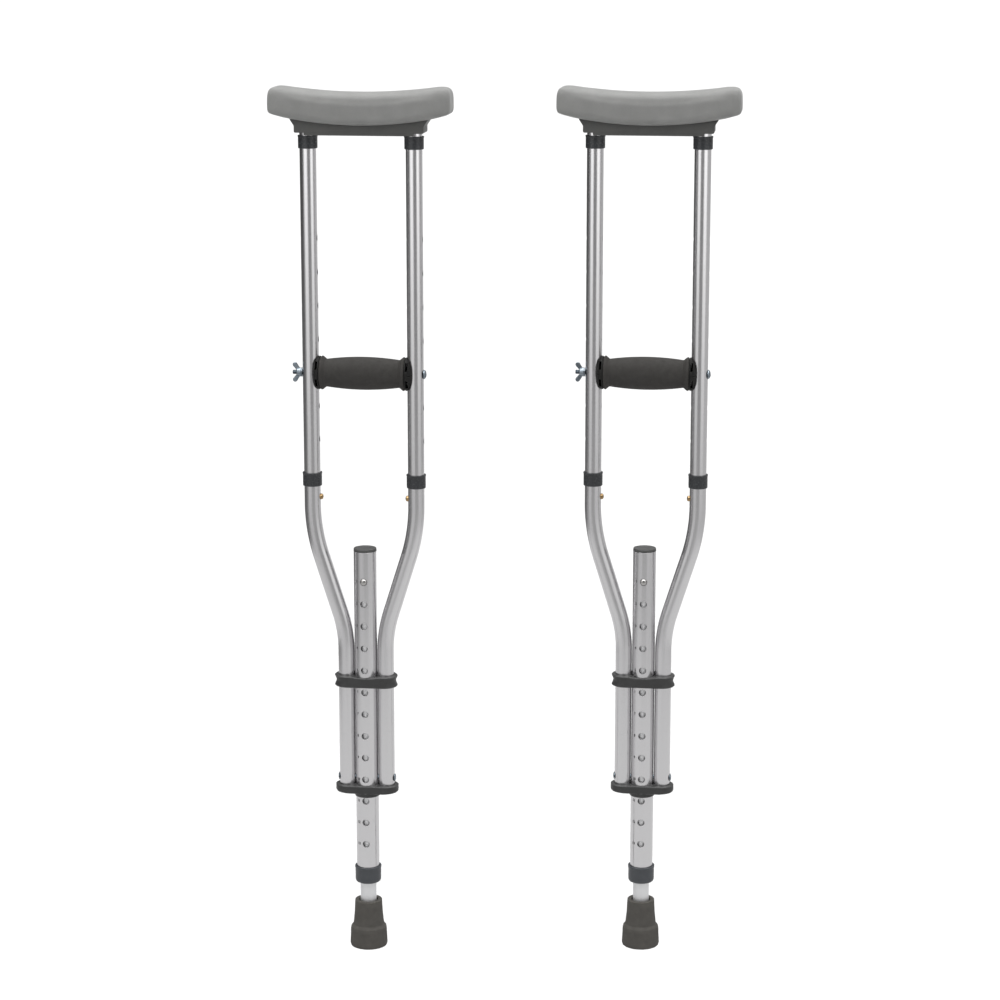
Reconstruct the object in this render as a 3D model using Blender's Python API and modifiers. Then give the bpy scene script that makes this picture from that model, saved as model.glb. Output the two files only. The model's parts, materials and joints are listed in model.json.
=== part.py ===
"""A pair of height-adjustable underarm crutches, in metres, +Z up.

Both crutches stand on the floor at z = 0, side tubes spread along X, leg holes facing -Y. Each one
is modelled about its own axis, and then placed twice, as the left and the right crutch.
"""

import math

import bmesh
import bpy
from mathutils import Matrix, Vector

# Where each crutch's axis meets the floor
CRUTCH_PLACES = {"left_crutch": (-0.154, -0.019), "right_crutch": (0.154, 0.019)}

# Clearances and faceting
GAP = 0.0003  # between pieces that touch
SLIDING_GAP = 0.0004  # between pieces that slide or turn
MERGE = 0.00001
OVERLAP = 0.002  # how far cutting and joined solids reach past a face
SMALL_SIDES = 12
LARGE_SIDES = 16
HOLE_SIDES = 8
SMOOTH_ANGLE = math.radians(35)

# Tubes
SIDE_RADIUS = 0.0091
SIDE_WALL = 0.0013
SIDE_BORE = SIDE_RADIUS - SIDE_WALL
SIDE_SPREAD = 0.058  # from the crutch's axis to each upper tube's axis
CENTRE_RADIUS = 0.0127
CENTRE_BORE = 0.0111
LEG_RADIUS = 0.0090
LEG_BORE = 0.0076
LOWER_SPREAD = CENTRE_RADIUS + SIDE_RADIUS + GAP

# Heights above the floor
FLOOR_TO_LEG = 0.0101
LEG_TOP = 0.4410
CENTRE_BOTTOM = 0.0813
CENTRE_TOP = 0.4617
BOW_BOTTOM = 0.1868
BOW_TOP = 0.5410
UPPER_SHOULDER = BOW_TOP + GAP
UPPER_BOTTOM = 0.5060
UPPER_TOP = 0.9320
SWAGE_LENGTH = 0.0020  # of the taper down to the upper tube's plug

# Bow bends
BEND_TOP = 0.5140
BEND_ANGLE = math.radians(17.5)
UPPER_BEND_RADIUS = 0.196
LOWER_BEND_RADIUS = 0.138
BEND_STEPS = 4

# Leg height adjustment
LEG_HOLES = 13
LEG_HOLE_PITCH = 0.0254
LEG_HOLE_RADIUS = 0.0040
TOP_LEG_HOLE = 0.4283
FRONT_DRILL = 0.0080  # through the front wall only

# Handgrip height adjustment
GRIP_HEIGHT = 0.6610
GRIP_HOLE_PITCH = 0.0370
GRIP_HOLES_BELOW = 2
GRIP_HOLES_ABOVE = 4
BOLT_RADIUS = 0.0025
BOLT_HOLE = BOLT_RADIUS + SLIDING_GAP

# Snap buttons
SIDE_BUTTON_HEIGHT = 0.5220
SIDE_BUTTON_RADIUS = 0.0032
SIDE_BUTTON_PROUD = 0.0030
LEG_BUTTON_RADIUS = 0.0036
LEG_BUTTON_PROUD = 0.0020
CLIP_THICKNESS = 0.0006
CLIP_RISE = 0.0060  # of both leaves above the button's axis
CLIP_WIDTH = 0.9  # half its width, in button radii
CLIP_BEND = 0.8  # where the V's leaves turn in, as a share of its drop
SIDE_CLIP = (0.0050, -0.0006, 0.0130)  # front leaf, back leaf, drop of the V
LEG_CLIP = (0.0062, -0.0020, 0.0200)
BUTTON_DOME = ((0, 0), (0.6, 0.12), (1, 0.5))  # across and below the tip, in radii

# Clamps that hold the bows to the centre tube
CLAMP_HALF_DEPTH = 0.0152
CLAMP_HALF_LENGTH = 0.0355
UPPER_CLAMP = (0.3070, 0.3200)
LOWER_CLAMP = (0.1833, 0.1923)
BOSS_BOTTOM = 0.1786
BOSS_TOP_RADIUS = 0.0149
BOSS_BOTTOM_RADIUS = 0.0140
CLAMP_DRILL = 0.0500  # longer than either clamp is tall
RIVET_HEIGHT = 0.2000
RIVET_RADIUS = 0.0025
RIVET_HEAD = (0.0044, 0.0013)  # radius and height
RIVET_DOME = (0.6, 0.77)  # the dome's middle point, as shares of the head
RIVET_TAIL = (0.0034, 0.0007)
RIVET_TAIL_FACE = 0.0103  # from the crutch's axis

# Collars
COLLAR_RADIUS = 0.0109
COLLAR_EDGE = 0.00045
TOP_COLLAR = (0.9060, 0.9200)
JOINT_COLLAR = (0.5345, 0.5495)
LEG_COLLAR = (0.0763, 0.0952)
LEG_COLLAR_RADIUS = 0.0150
LEG_COLLAR_LIP = 0.0006  # flat ring left round the leg

# Cap in the centre tube's top
CAP_TOP = 0.4650
CAP_RIM_RADIUS = 0.0129
CAP_EDGE = 0.0011
CAP_PLUG_LENGTH = 0.0100
CAP_WALL = 0.0015

# Pad and base
PAD_HALF_LENGTH = 0.1005
PAD_HALF_DEPTH = 0.0220
PAD_ROUNDING = 0.0060
PAD_TOP = 0.9664  # at the middle of the saddle
PAD_TOP_RISE = 0.0067  # from the middle to the ends
PAD_BOTTOM = 0.9317
PAD_BOTTOM_RISE = 0.0066  # from the middle to the base's shoulders
PAD_CORNER = 0.0110
PAD_LOWER_CORNER = 0.0070
BASE_BOTTOM = 0.9208
BASE_STEP = 0.0027
BASE_STEP_START = 0.0596
BASE_HALF_LENGTH = 0.0704
BASE_CORNER = 0.0019
BASE_DRAFT = 0.0002
BASE_SHOULDER = 0.0750
BASE_HALF_DEPTH = 0.0150
TONGUE_HALF_SIZE = (0.050, 0.0060)
TONGUE_TOP = 0.9440

# Handgrip
SLEEVE_HALF_LENGTH = 0.0470
SLEEVE_END_RADIUS = 0.0152
SLEEVE_BELLY = 0.0029  # how much fatter the middle is
FLANGE_RADIUS = 0.0187
FLANGE_WIDTH = 0.0065
FLANGE_PEAK = 0.0018  # in from the sleeve's end
FLANGE_EDGE = 0.0009
CORE_RADIUS = 0.0110
SADDLE_RADIUS = 0.0184
SADDLE_REACH = 0.0550
SADDLE_RIM = 0.0015
SADDLE_EDGE = 0.0004
SADDLE_STEPS = 3
BOLT_HEAD_RADIUS = 0.0051
BOLT_HEAD_HEIGHT = 0.0028
BOLT_DOME = ((0, 0), (0.55, 0.15), (0.9, 0.43), (1, 1))  # as shares of the head
BOLT_END = 0.0782
BOLT_CHAMFER = 0.0005
SLOT_WIDTH = 0.0012
SLOT_DEPTH = 0.0012
WASHER_THICKNESS = 0.0008
NUT_HUB_RADIUS = 0.0050
NUT_HUB_HEIGHT = 0.0052
NUT_TOP_RADIUS = 0.0040
NUT_RIM = 0.0008
WING_ROOT = (0.0030, 0.0026)  # along the bolt and out from it
WING_ROOT_RADIUS = 0.0020
WING_TIP = (0.0072, 0.0083)
WING_TIP_RADIUS = 0.0026
WING_HALF_THICKNESS = 0.0011

# Rubber tip
TIP_HEIGHT = 0.0545
TIP_RIM_RADIUS = 0.0153
TIP_NECK = (0.0174, 0.0250)  # radius and height where the sole flares out
TIP_SHOULDER = (0.0204, 0.0210)
TIP_SOLE_RADIUS = 0.0212
TIP_FLOOR = 0.0080
TIP_MOUTH = 0.0107
TIP_MOUTH_DEPTH = (0.0040, 0.0120)  # of the mouth, and of the taper in to the leg
TIP_EDGE = 0.0009
TIP_SOLE_EDGE = 0.0016
TIP_WASHER_HOLE = 0.0030

# Material: colour, roughness, metallic
MATERIALS = {
    "pad_foam": ((0.21, 0.21, 0.20), 0.75, 0.0),
    "base_plastic": ((0.075, 0.075, 0.072), 0.55, 0.0),
    "collar_plastic": ((0.045, 0.048, 0.052), 0.35, 0.0),
    "clamp_plastic": ((0.050, 0.050, 0.050), 0.50, 0.0),
    "grip_rubber": ((0.070, 0.066, 0.060), 0.80, 0.0),
    "saddle_plastic": ((0.020, 0.020, 0.020), 0.50, 0.0),
    "tip_rubber": ((0.080, 0.076, 0.070), 0.80, 0.0),
    "aluminium": ((0.72, 0.72, 0.73), 0.32, 1.0),
    "zinc_steel": ((0.66, 0.70, 0.72), 0.28, 1.0),
    "brass": ((0.60, 0.42, 0.22), 0.30, 1.0),
}


def new_collection(name):
    collection = bpy.data.collections.new(name)
    bpy.context.scene.collection.children.link(collection)
    return collection


def link(name, data):
    obj = bpy.data.objects.new(name, data)
    PARTS.objects.link(obj)
    return obj


def bake(obj):
    """The object with its modifiers applied and its transform in the mesh."""
    bpy.context.view_layer.update()
    depsgraph = bpy.context.evaluated_depsgraph_get()
    mesh = bpy.data.meshes.new_from_object(obj.evaluated_get(depsgraph))
    mesh.transform(obj.matrix_world)
    shape = bmesh.new()
    shape.from_mesh(mesh)
    bmesh.ops.remove_doubles(shape, verts=shape.verts, dist=MERGE)
    shape.to_mesh(mesh)
    shape.free()
    name = obj.name
    bpy.data.objects.remove(obj)
    return link(name, mesh)


def combine(obj, other, operation):
    """Cuts the other solid from this one, or joins it on, and removes the other."""
    boolean = obj.modifiers.new(operation.title(), "BOOLEAN")
    boolean.operation = operation
    boolean.solver = "EXACT"
    boolean.object = other
    solid = bake(obj)
    bpy.data.objects.remove(other)
    return solid


def turned(name, profile, sides, axis="Z", closed=True):
    """Turns (radius, height) points about an axis; an open profile starts and ends on it."""
    edges = [(i, i + 1) for i in range(len(profile) - 1)]
    if closed:
        edges.append((len(profile) - 1, 0))
    mesh = bpy.data.meshes.new(name)
    mesh.from_pydata([(radius, 0, height) for radius, height in profile], edges, [])
    obj = link(name, mesh)
    screw = obj.modifiers.new("Turn", "SCREW")
    screw.steps = screw.render_steps = sides
    screw.use_merge_vertices = True
    screw.merge_threshold = MERGE
    if axis == "X":
        obj.rotation_euler.y = math.pi / 2
    return bake(obj)


def tube_profile(outer, bore, bottom, top):
    return [(outer, top), (outer, bottom), (bore, bottom), (bore, top)]


def collar_profile(outer, bore, bottom, top, edge):
    """A sleeve with both outer edges chamfered."""
    return [
        (outer - edge, top),
        (outer, top - edge),
        (outer, bottom + edge),
        (outer - edge, bottom),
        (bore, bottom),
        (bore, top),
    ]


def extruded(name, outline, half_thickness, rounding=0.0, upright=False):
    """Fills a closed outline and thickens it along Z, or along Y when it stands upright."""
    curve = bpy.data.curves.new(name, "CURVE")
    curve.dimensions = "2D"
    curve.fill_mode = "BOTH"
    curve.extrude = half_thickness - rounding
    curve.bevel_depth = rounding
    curve.bevel_resolution = 1
    curve.offset = -rounding
    spline = curve.splines.new("POLY")
    spline.points.add(len(outline) - 1)
    for point, (across, along) in zip(spline.points, outline):
        point.co = (across, along, 0, 1)
    spline.use_cyclic_u = True
    obj = link(name, curve)
    if upright:
        obj.rotation_euler.x = math.pi / 2
    return bake(obj)


def box(name, low, high):
    mesh = bpy.data.meshes.new(name)
    shape = bmesh.new()
    bmesh.ops.create_cube(shape, size=1)
    size = Vector(high) - Vector(low)
    middle = (Vector(high) + Vector(low)) / 2
    bmesh.ops.scale(shape, vec=size, verts=shape.verts)
    bmesh.ops.translate(shape, vec=middle, verts=shape.verts)
    shape.to_mesh(mesh)
    shape.free()
    return link(name, mesh)


def drill(obj, starts, direction, radius, length, sides=HOLE_SIDES):
    """Cuts round holes that start at the given points and run along one direction."""
    direction = Vector(direction)
    turn = direction.to_track_quat("Z", "Y").to_matrix().to_4x4()
    mesh = bpy.data.meshes.new("drill")
    shape = bmesh.new()
    for start in starts:
        middle = Vector(start) + direction * (length / 2)
        bmesh.ops.create_cone(
            shape,
            cap_ends=True,
            segments=sides,
            radius1=radius,
            radius2=radius,
            depth=length,
            matrix=Matrix.Translation(middle) @ turn,
        )
    shape.to_mesh(mesh)
    shape.free()
    return combine(obj, link("drill", mesh), "DIFFERENCE")


def arc(centre, radius, start, end, steps):
    """Points on a circle, angles in degrees."""
    angles = [math.radians(start + (end - start) * i / steps) for i in range(steps + 1)]
    return [(centre[0] + radius * math.cos(a), centre[1] + radius * math.sin(a)) for a in angles]


def grip_hole_heights():
    steps = range(-GRIP_HOLES_BELOW, GRIP_HOLES_ABOVE + 1)
    return [GRIP_HEIGHT + step * GRIP_HOLE_PITCH for step in steps]


def pad_bottom_at(across):
    return PAD_BOTTOM + PAD_BOTTOM_RISE * (across / BASE_SHOULDER) ** 2


def pad_top_at(across):
    return PAD_TOP + PAD_TOP_RISE * (across / (PAD_HALF_LENGTH - PAD_CORNER)) ** 2


def evenly(start, end, steps):
    return [start + (end - start) * i / steps for i in range(steps + 1)]


def make_pad():
    """The saddle-shaped foam pad, with a slot below for the base's tongue."""
    upper = PAD_HALF_LENGTH - PAD_CORNER
    lower = PAD_HALF_LENGTH - PAD_LOWER_CORNER
    top_centre = pad_top_at(upper) - PAD_CORNER
    bottom_centre = pad_bottom_at(lower) + PAD_LOWER_CORNER
    outline = [(x, pad_bottom_at(x)) for x in evenly(-lower, lower, 8)][:-1]
    outline += arc((lower, bottom_centre), PAD_LOWER_CORNER, -90, 0, 3)
    outline += arc((upper, top_centre), PAD_CORNER, 0, 90, 4)
    outline += [(x, pad_top_at(x)) for x in evenly(upper, -upper, 8)][1:-1]
    outline += arc((-upper, top_centre), PAD_CORNER, 90, 180, 4)
    outline += arc((-lower, bottom_centre), PAD_LOWER_CORNER, 180, 270, 3)[:-1]
    pad = extruded("underarm_pad", outline, PAD_HALF_DEPTH, PAD_ROUNDING, upright=True)
    length, depth = TONGUE_HALF_SIZE
    slot = box(
        "slot",
        (-length - GAP, -depth - GAP, BASE_BOTTOM),
        (length + GAP, depth + GAP, TONGUE_TOP + GAP),
    )
    return combine(pad, slot, "DIFFERENCE")


def make_base():
    """The moulded bar under the pad: tongue above, a socket for each upper tube below."""
    step_top = BASE_BOTTOM + BASE_STEP
    half = [
        (BASE_STEP_START, BASE_BOTTOM),
        (BASE_STEP_START, step_top),
        (BASE_HALF_LENGTH - BASE_CORNER, step_top + BASE_DRAFT),
        (BASE_HALF_LENGTH, step_top + BASE_CORNER),
        (BASE_HALF_LENGTH, step_top + 4 * BASE_CORNER),
        (BASE_SHOULDER, pad_bottom_at(BASE_SHOULDER) - GAP - MERGE),
    ]
    top = [(x, pad_bottom_at(x) - GAP) for x in evenly(BASE_SHOULDER, -BASE_SHOULDER, 8)][1:-1]
    outline = half + top + [(-across, height) for across, height in reversed(half)]
    base = extruded("pad_base", outline, BASE_HALF_DEPTH, upright=True)
    length, depth = TONGUE_HALF_SIZE
    root = PAD_BOTTOM - OVERLAP
    tongue = box("tongue", (-length, -depth, root), (length, depth, TONGUE_TOP))
    base = combine(base, tongue, "UNION")
    bottoms = [(side * SIDE_SPREAD, 0, BASE_BOTTOM - OVERLAP) for side in (-1, 1)]
    socket_length = UPPER_TOP + GAP - BASE_BOTTOM + OVERLAP
    return drill(base, bottoms, (0, 0, 1), SIDE_RADIUS + GAP, socket_length, SMALL_SIDES)


def make_upper_tube(name, side):
    """A side tube whose lower end is swaged down to slip into the bow tube."""
    plug = SIDE_BORE - SLIDING_GAP
    plug_bore = plug - SIDE_WALL
    tube = turned(
        name,
        [
            (SIDE_RADIUS, UPPER_TOP),
            (SIDE_RADIUS, UPPER_SHOULDER + SWAGE_LENGTH),
            (plug, UPPER_SHOULDER),
            (plug, UPPER_BOTTOM),
            (plug_bore, UPPER_BOTTOM),
            (plug_bore, UPPER_SHOULDER + SWAGE_LENGTH),
            (SIDE_BORE, UPPER_SHOULDER + 2 * SWAGE_LENGTH),
            (SIDE_BORE, UPPER_TOP),
        ],
        SMALL_SIDES,
    )
    left_of_tube = -2 * SIDE_RADIUS
    starts = [(left_of_tube, 0, height) for height in grip_hole_heights()]
    tube = drill(tube, starts, (1, 0, 0), BOLT_HOLE, 4 * SIDE_RADIUS)
    button = [(0, 0, SIDE_BUTTON_HEIGHT)]
    tube = drill(tube, button, (-side, 0, 0), SIDE_BUTTON_RADIUS + GAP, 2 * SIDE_RADIUS)
    return at(tube, (side * SIDE_SPREAD, 0, 0))


def bow_path():
    """(across, height) points down a bow, from its upper end to its lower one."""
    lower = BEND_TOP - UPPER_BEND_RADIUS * math.sin(BEND_ANGLE)
    points = [(SIDE_SPREAD, BOW_TOP)]
    for i in range(BEND_STEPS + 1):
        angle = BEND_ANGLE * i / BEND_STEPS
        across = SIDE_SPREAD - UPPER_BEND_RADIUS * (1 - math.cos(angle))
        points.append((across, BEND_TOP - UPPER_BEND_RADIUS * math.sin(angle)))
    second_bend = LOWER_SPREAD + LOWER_BEND_RADIUS * (1 - math.cos(BEND_ANGLE))
    drop = (points[-1][0] - second_bend) / math.tan(BEND_ANGLE)
    bend_end = lower - drop - LOWER_BEND_RADIUS * math.sin(BEND_ANGLE)
    for i in range(BEND_STEPS, -1, -1):
        angle = BEND_ANGLE * i / BEND_STEPS
        across = LOWER_SPREAD + LOWER_BEND_RADIUS * (1 - math.cos(angle))
        points.append((across, bend_end + LOWER_BEND_RADIUS * math.sin(angle)))
    return points + [(LOWER_SPREAD, BOW_BOTTOM)]


def make_bow(name, side):
    """The bent tube from the joint collar in to the centre tube."""
    curve = bpy.data.curves.new(name, "CURVE")
    curve.dimensions = "3D"
    curve.bevel_depth = SIDE_RADIUS
    curve.bevel_resolution = (SMALL_SIDES - 4) // 2
    spline = curve.splines.new("POLY")
    path = bow_path()
    spline.points.add(len(path) - 1)
    for point, (across, height) in zip(spline.points, path):
        point.co = (side * across, 0, height, 1)
    bow = bake(link(name, curve))
    wall = bow.modifiers.new("Wall", "SOLIDIFY")
    wall.thickness = SIDE_WALL
    wall.offset = -1
    bow = bake(bow)
    button = [(side * SIDE_SPREAD, 0, SIDE_BUTTON_HEIGHT)]
    bow = drill(bow, button, (-side, 0, 0), SIDE_BUTTON_RADIUS + GAP, 2 * SIDE_RADIUS)
    rivet = [(side * (LOWER_SPREAD + 2 * SIDE_RADIUS), 0, RIVET_HEIGHT)]
    return drill(bow, rivet, (-side, 0, 0), RIVET_RADIUS + GAP, 4 * SIDE_RADIUS)


def make_snap_button(name, radius, tip, clip):
    """A button riveted on a V spring: it points along +X and the V opens upwards."""
    front, back, drop = clip
    half_width = radius * CLIP_WIDTH
    inset = CLIP_THICKNESS / 2
    path = [
        (front - inset, CLIP_RISE),
        (front - inset, -drop * CLIP_BEND),
        ((front + back) / 2, -drop),
        (back + inset, -drop * CLIP_BEND),
        (back + inset, CLIP_RISE),
    ]
    points = [(across, y, height) for across, height in path for y in (-half_width, half_width)]
    faces = [(2 * i, 2 * i + 1, 2 * i + 3, 2 * i + 2) for i in range(len(path) - 1)]
    mesh = bpy.data.meshes.new(name)
    mesh.from_pydata(points, [], faces)
    strip = link(name, mesh)
    thickness = strip.modifiers.new("Strip", "SOLIDIFY")
    thickness.thickness = CLIP_THICKNESS
    thickness.offset = 0
    strip = bake(strip)
    root = front - 1.5 * CLIP_THICKNESS
    dome = [(radius * across, tip - radius * below) for across, below in BUTTON_DOME]
    pin = turned("pin", dome + [(radius, root), (0, root)], HOLE_SIDES, "X", closed=False)
    return combine(strip, pin, "UNION")


def make_side_button(name, side):
    tip = SIDE_RADIUS + SIDE_BUTTON_PROUD
    button = make_snap_button(name, SIDE_BUTTON_RADIUS, tip, SIDE_CLIP)
    turn = math.pi if side > 0 else 0
    return at(button, (side * SIDE_SPREAD, 0, SIDE_BUTTON_HEIGHT), turn)


def make_leg_button():
    tip = CENTRE_RADIUS + LEG_BUTTON_PROUD
    button = make_snap_button("leg_snap_button", LEG_BUTTON_RADIUS, tip, LEG_CLIP)
    return at(button, (0, 0, TOP_LEG_HOLE), -math.pi / 2)


def make_side_collar(name, side, span):
    """A plastic sleeve round an upper side tube."""
    bore = SIDE_RADIUS + GAP + SLIDING_GAP / 2
    profile = collar_profile(COLLAR_RADIUS, bore, *span, COLLAR_EDGE)
    return at(turned(name, profile, SMALL_SIDES), (side * SIDE_SPREAD, 0, 0))


def clamp_outline():
    """A long rounded bar, seen from above."""
    centre = CLAMP_HALF_LENGTH - CLAMP_HALF_DEPTH
    right = arc((centre, 0), CLAMP_HALF_DEPTH, -90, 90, 8)
    left = arc((-centre, 0), CLAMP_HALF_DEPTH, 90, 270, 8)
    return right + left


def clamp_block(name, span):
    block = extruded(name, clamp_outline(), (span[1] - span[0]) / 2)
    return bake(at(block, (0, 0, sum(span) / 2)))


def bore_clamp(clamp, centre_start, side_start):
    """Opens the centre tube's bore and the bows' bores upwards from the given heights."""
    centre_bore = CENTRE_RADIUS + GAP + SLIDING_GAP / 2
    side_bore = SIDE_RADIUS + GAP + SLIDING_GAP / 2
    up = (0, 0, 1)
    clamp = drill(clamp, [(0, 0, centre_start)], up, centre_bore, CLAMP_DRILL, LARGE_SIDES)
    for side in (-1, 1):
        start = (side * LOWER_SPREAD, 0, side_start)
        clamp = drill(clamp, [start], up, side_bore, CLAMP_DRILL, SMALL_SIDES)
    return clamp


def make_upper_clamp():
    below = UPPER_CLAMP[0] - OVERLAP
    return bore_clamp(clamp_block("upper_clamp", UPPER_CLAMP), below, below)


def make_lower_clamp():
    """Closes the bows' lower ends; a tapered boss runs a little further down the centre tube."""
    clamp = clamp_block("lower_clamp", LOWER_CLAMP)
    top = LOWER_CLAMP[0] + OVERLAP
    boss_profile = [(0, top), (BOSS_TOP_RADIUS, top), (BOSS_TOP_RADIUS, LOWER_CLAMP[0])]
    boss_profile += [(BOSS_BOTTOM_RADIUS, BOSS_BOTTOM), (0, BOSS_BOTTOM)]
    boss = turned("boss", boss_profile, LARGE_SIDES, closed=False)
    clamp = combine(clamp, boss, "UNION")
    return bore_clamp(clamp, BOSS_BOTTOM - OVERLAP, BOW_BOTTOM - GAP)


def make_rivet(name, side):
    """Holds a bow to the centre tube: domed head outside, flat tail in the centre tube's bore."""
    head = LOWER_SPREAD + SIDE_RADIUS + GAP
    head_radius, head_height = RIVET_HEAD
    tail_radius, tail_thickness = RIVET_TAIL
    profile = [
        (0, head + head_height),
        (head_radius * RIVET_DOME[0], head + head_height * RIVET_DOME[1]),
        (head_radius, head),
        (RIVET_RADIUS, head),
        (RIVET_RADIUS, RIVET_TAIL_FACE),
        (tail_radius, RIVET_TAIL_FACE),
        (tail_radius, RIVET_TAIL_FACE - tail_thickness),
        (0, RIVET_TAIL_FACE - tail_thickness),
    ]
    rivet = turned(name, profile, HOLE_SIDES, "X", closed=False)
    return at(rivet, (0, 0, RIVET_HEIGHT), math.pi if side < 0 else 0)


def make_centre_tube():
    profile = tube_profile(CENTRE_RADIUS, CENTRE_BORE, CENTRE_BOTTOM, CENTRE_TOP)
    tube = turned("centre_tube", profile, LARGE_SIDES)
    front = -CENTRE_RADIUS - OVERLAP
    heights = [TOP_LEG_HOLE - i * LEG_HOLE_PITCH for i in range(LEG_HOLES)]
    starts = [(0, front, height) for height in heights]
    tube = drill(tube, starts, (0, 1, 0), LEG_HOLE_RADIUS, FRONT_DRILL)
    rivets = [(-2 * CENTRE_RADIUS, 0, RIVET_HEIGHT)]
    return drill(tube, rivets, (1, 0, 0), RIVET_RADIUS + GAP, 4 * CENTRE_RADIUS)


def make_cap():
    """A plug with a thin rounded rim that closes the centre tube's top."""
    plug = CENTRE_BORE - GAP
    rim_bottom = CENTRE_TOP + GAP
    plug_bottom = rim_bottom - CAP_PLUG_LENGTH
    profile = [
        (0, CAP_TOP),
        (CAP_RIM_RADIUS - CAP_EDGE, CAP_TOP),
        (CAP_RIM_RADIUS, CAP_TOP - CAP_EDGE),
        (CAP_RIM_RADIUS, rim_bottom),
        (plug, rim_bottom),
        (plug, plug_bottom),
        (plug - CAP_WALL, plug_bottom),
        (plug - CAP_WALL, rim_bottom),
        (0, rim_bottom),
    ]
    return turned("centre_tube_cap", profile, LARGE_SIDES, closed=False)


def make_leg_collar():
    """A cup on the centre tube's lower end, with a close bore for the leg."""
    bottom, top = LEG_COLLAR
    socket = CENTRE_RADIUS + GAP
    seat = CENTRE_BOTTOM - GAP
    guide = LEG_RADIUS + SLIDING_GAP
    rounding = LEG_COLLAR_RADIUS - guide - LEG_COLLAR_LIP
    curve = arc((LEG_COLLAR_RADIUS - rounding, bottom + rounding), rounding, 0, -90, 4)
    inside = [(guide, bottom), (guide, seat), (socket, seat), (socket, top)]
    return turned("leg_collar", [(LEG_COLLAR_RADIUS, top)] + curve + inside, LARGE_SIDES)


def make_leg_tube():
    leg = turned("leg_tube", tube_profile(LEG_RADIUS, LEG_BORE, FLOOR_TO_LEG, LEG_TOP), LARGE_SIDES)
    start = [(0, -LEG_RADIUS - OVERLAP, TOP_LEG_HOLE)]
    return drill(leg, start, (0, 1, 0), LEG_HOLE_RADIUS, FRONT_DRILL)


def make_tip():
    """The rubber foot: a socket for the leg above a flared sole."""
    bore = LEG_RADIUS + GAP
    mouth_depth, taper_depth = TIP_MOUTH_DEPTH
    socket = [
        (0, TIP_FLOOR),
        (bore, TIP_FLOOR),
        (bore, TIP_HEIGHT - taper_depth),
        (TIP_MOUTH, TIP_HEIGHT - mouth_depth),
        (TIP_MOUTH, TIP_HEIGHT),
    ]
    outside = [
        (TIP_RIM_RADIUS - TIP_EDGE, TIP_HEIGHT),
        (TIP_RIM_RADIUS, TIP_HEIGHT - TIP_EDGE),
        TIP_NECK,
        TIP_SHOULDER,
        (TIP_SOLE_RADIUS, TIP_SOLE_EDGE),
        (TIP_SOLE_RADIUS - TIP_SOLE_EDGE, 0),
        (0, 0),
    ]
    return turned("rubber_tip", socket + outside, LARGE_SIDES, closed=False)


def make_tip_washer():
    """The steel disc under the leg's end that stops it cutting through the sole."""
    rim = LEG_RADIUS - SLIDING_GAP
    profile = tube_profile(rim, TIP_WASHER_HOLE, TIP_FLOOR + GAP, FLOOR_TO_LEG - GAP)
    return turned("tip_washer", profile, SMALL_SIDES)


def make_sleeve():
    """The soft grip: a barrel with a flange at each end."""
    end = SLEEVE_HALF_LENGTH
    body = end - FLANGE_WIDTH
    flange = [
        (FLANGE_RADIUS - FLANGE_EDGE, end),
        (FLANGE_RADIUS, end - FLANGE_PEAK),
        (SLEEVE_END_RADIUS, body),
    ]
    belly = []
    for along in evenly(body, 0, 4)[1:]:
        belly.append((SLEEVE_END_RADIUS + SLEEVE_BELLY * (1 - (along / body) ** 2), along))
    half = flange + belly
    other_half = [(radius, -along) for radius, along in reversed(half[:-1])]
    bore = CORE_RADIUS + GAP
    sleeve = turned("grip_sleeve", half + other_half + [(bore, -end), (bore, end)], LARGE_SIDES, "X")
    return at(sleeve, (0, 0, GRIP_HEIGHT))


def make_core():
    end = SLEEVE_HALF_LENGTH - GAP
    core = turned("grip_core", tube_profile(CORE_RADIUS, BOLT_HOLE, -end, end), LARGE_SIDES, "X")
    return at(core, (0, 0, GRIP_HEIGHT))


def make_saddle(name, side):
    """The cup between the grip and a side tube: domed, and hollowed to fit round the tube."""
    start = SLEEVE_HALF_LENGTH + GAP
    rim = start + SADDLE_RIM
    inner_radius = SIDE_RADIUS + SLIDING_GAP
    profile = [(0, SADDLE_REACH), (inner_radius, SADDLE_REACH)]
    depth = SADDLE_REACH - rim
    for i in range(1, SADDLE_STEPS + 1):
        fall = i / SADDLE_STEPS
        widening = (SADDLE_RADIUS - inner_radius) * math.sin(fall * math.pi / 2)
        profile.append((inner_radius + widening, SADDLE_REACH - depth * fall))
    profile += [(SADDLE_RADIUS - SADDLE_EDGE, start), (0, start)]
    saddle = turned(name, profile, LARGE_SIDES, "X", closed=False)
    below = (SIDE_SPREAD, 0, -2 * SADDLE_RADIUS)
    saddle = drill(saddle, [below], (0, 0, 1), inner_radius, 4 * SADDLE_RADIUS, SMALL_SIDES)
    saddle = drill(saddle, [(start - OVERLAP, 0, 0)], (1, 0, 0), BOLT_HOLE, 3 * OVERLAP)
    return at(saddle, (0, 0, GRIP_HEIGHT), math.pi if side < 0 else 0)


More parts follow.
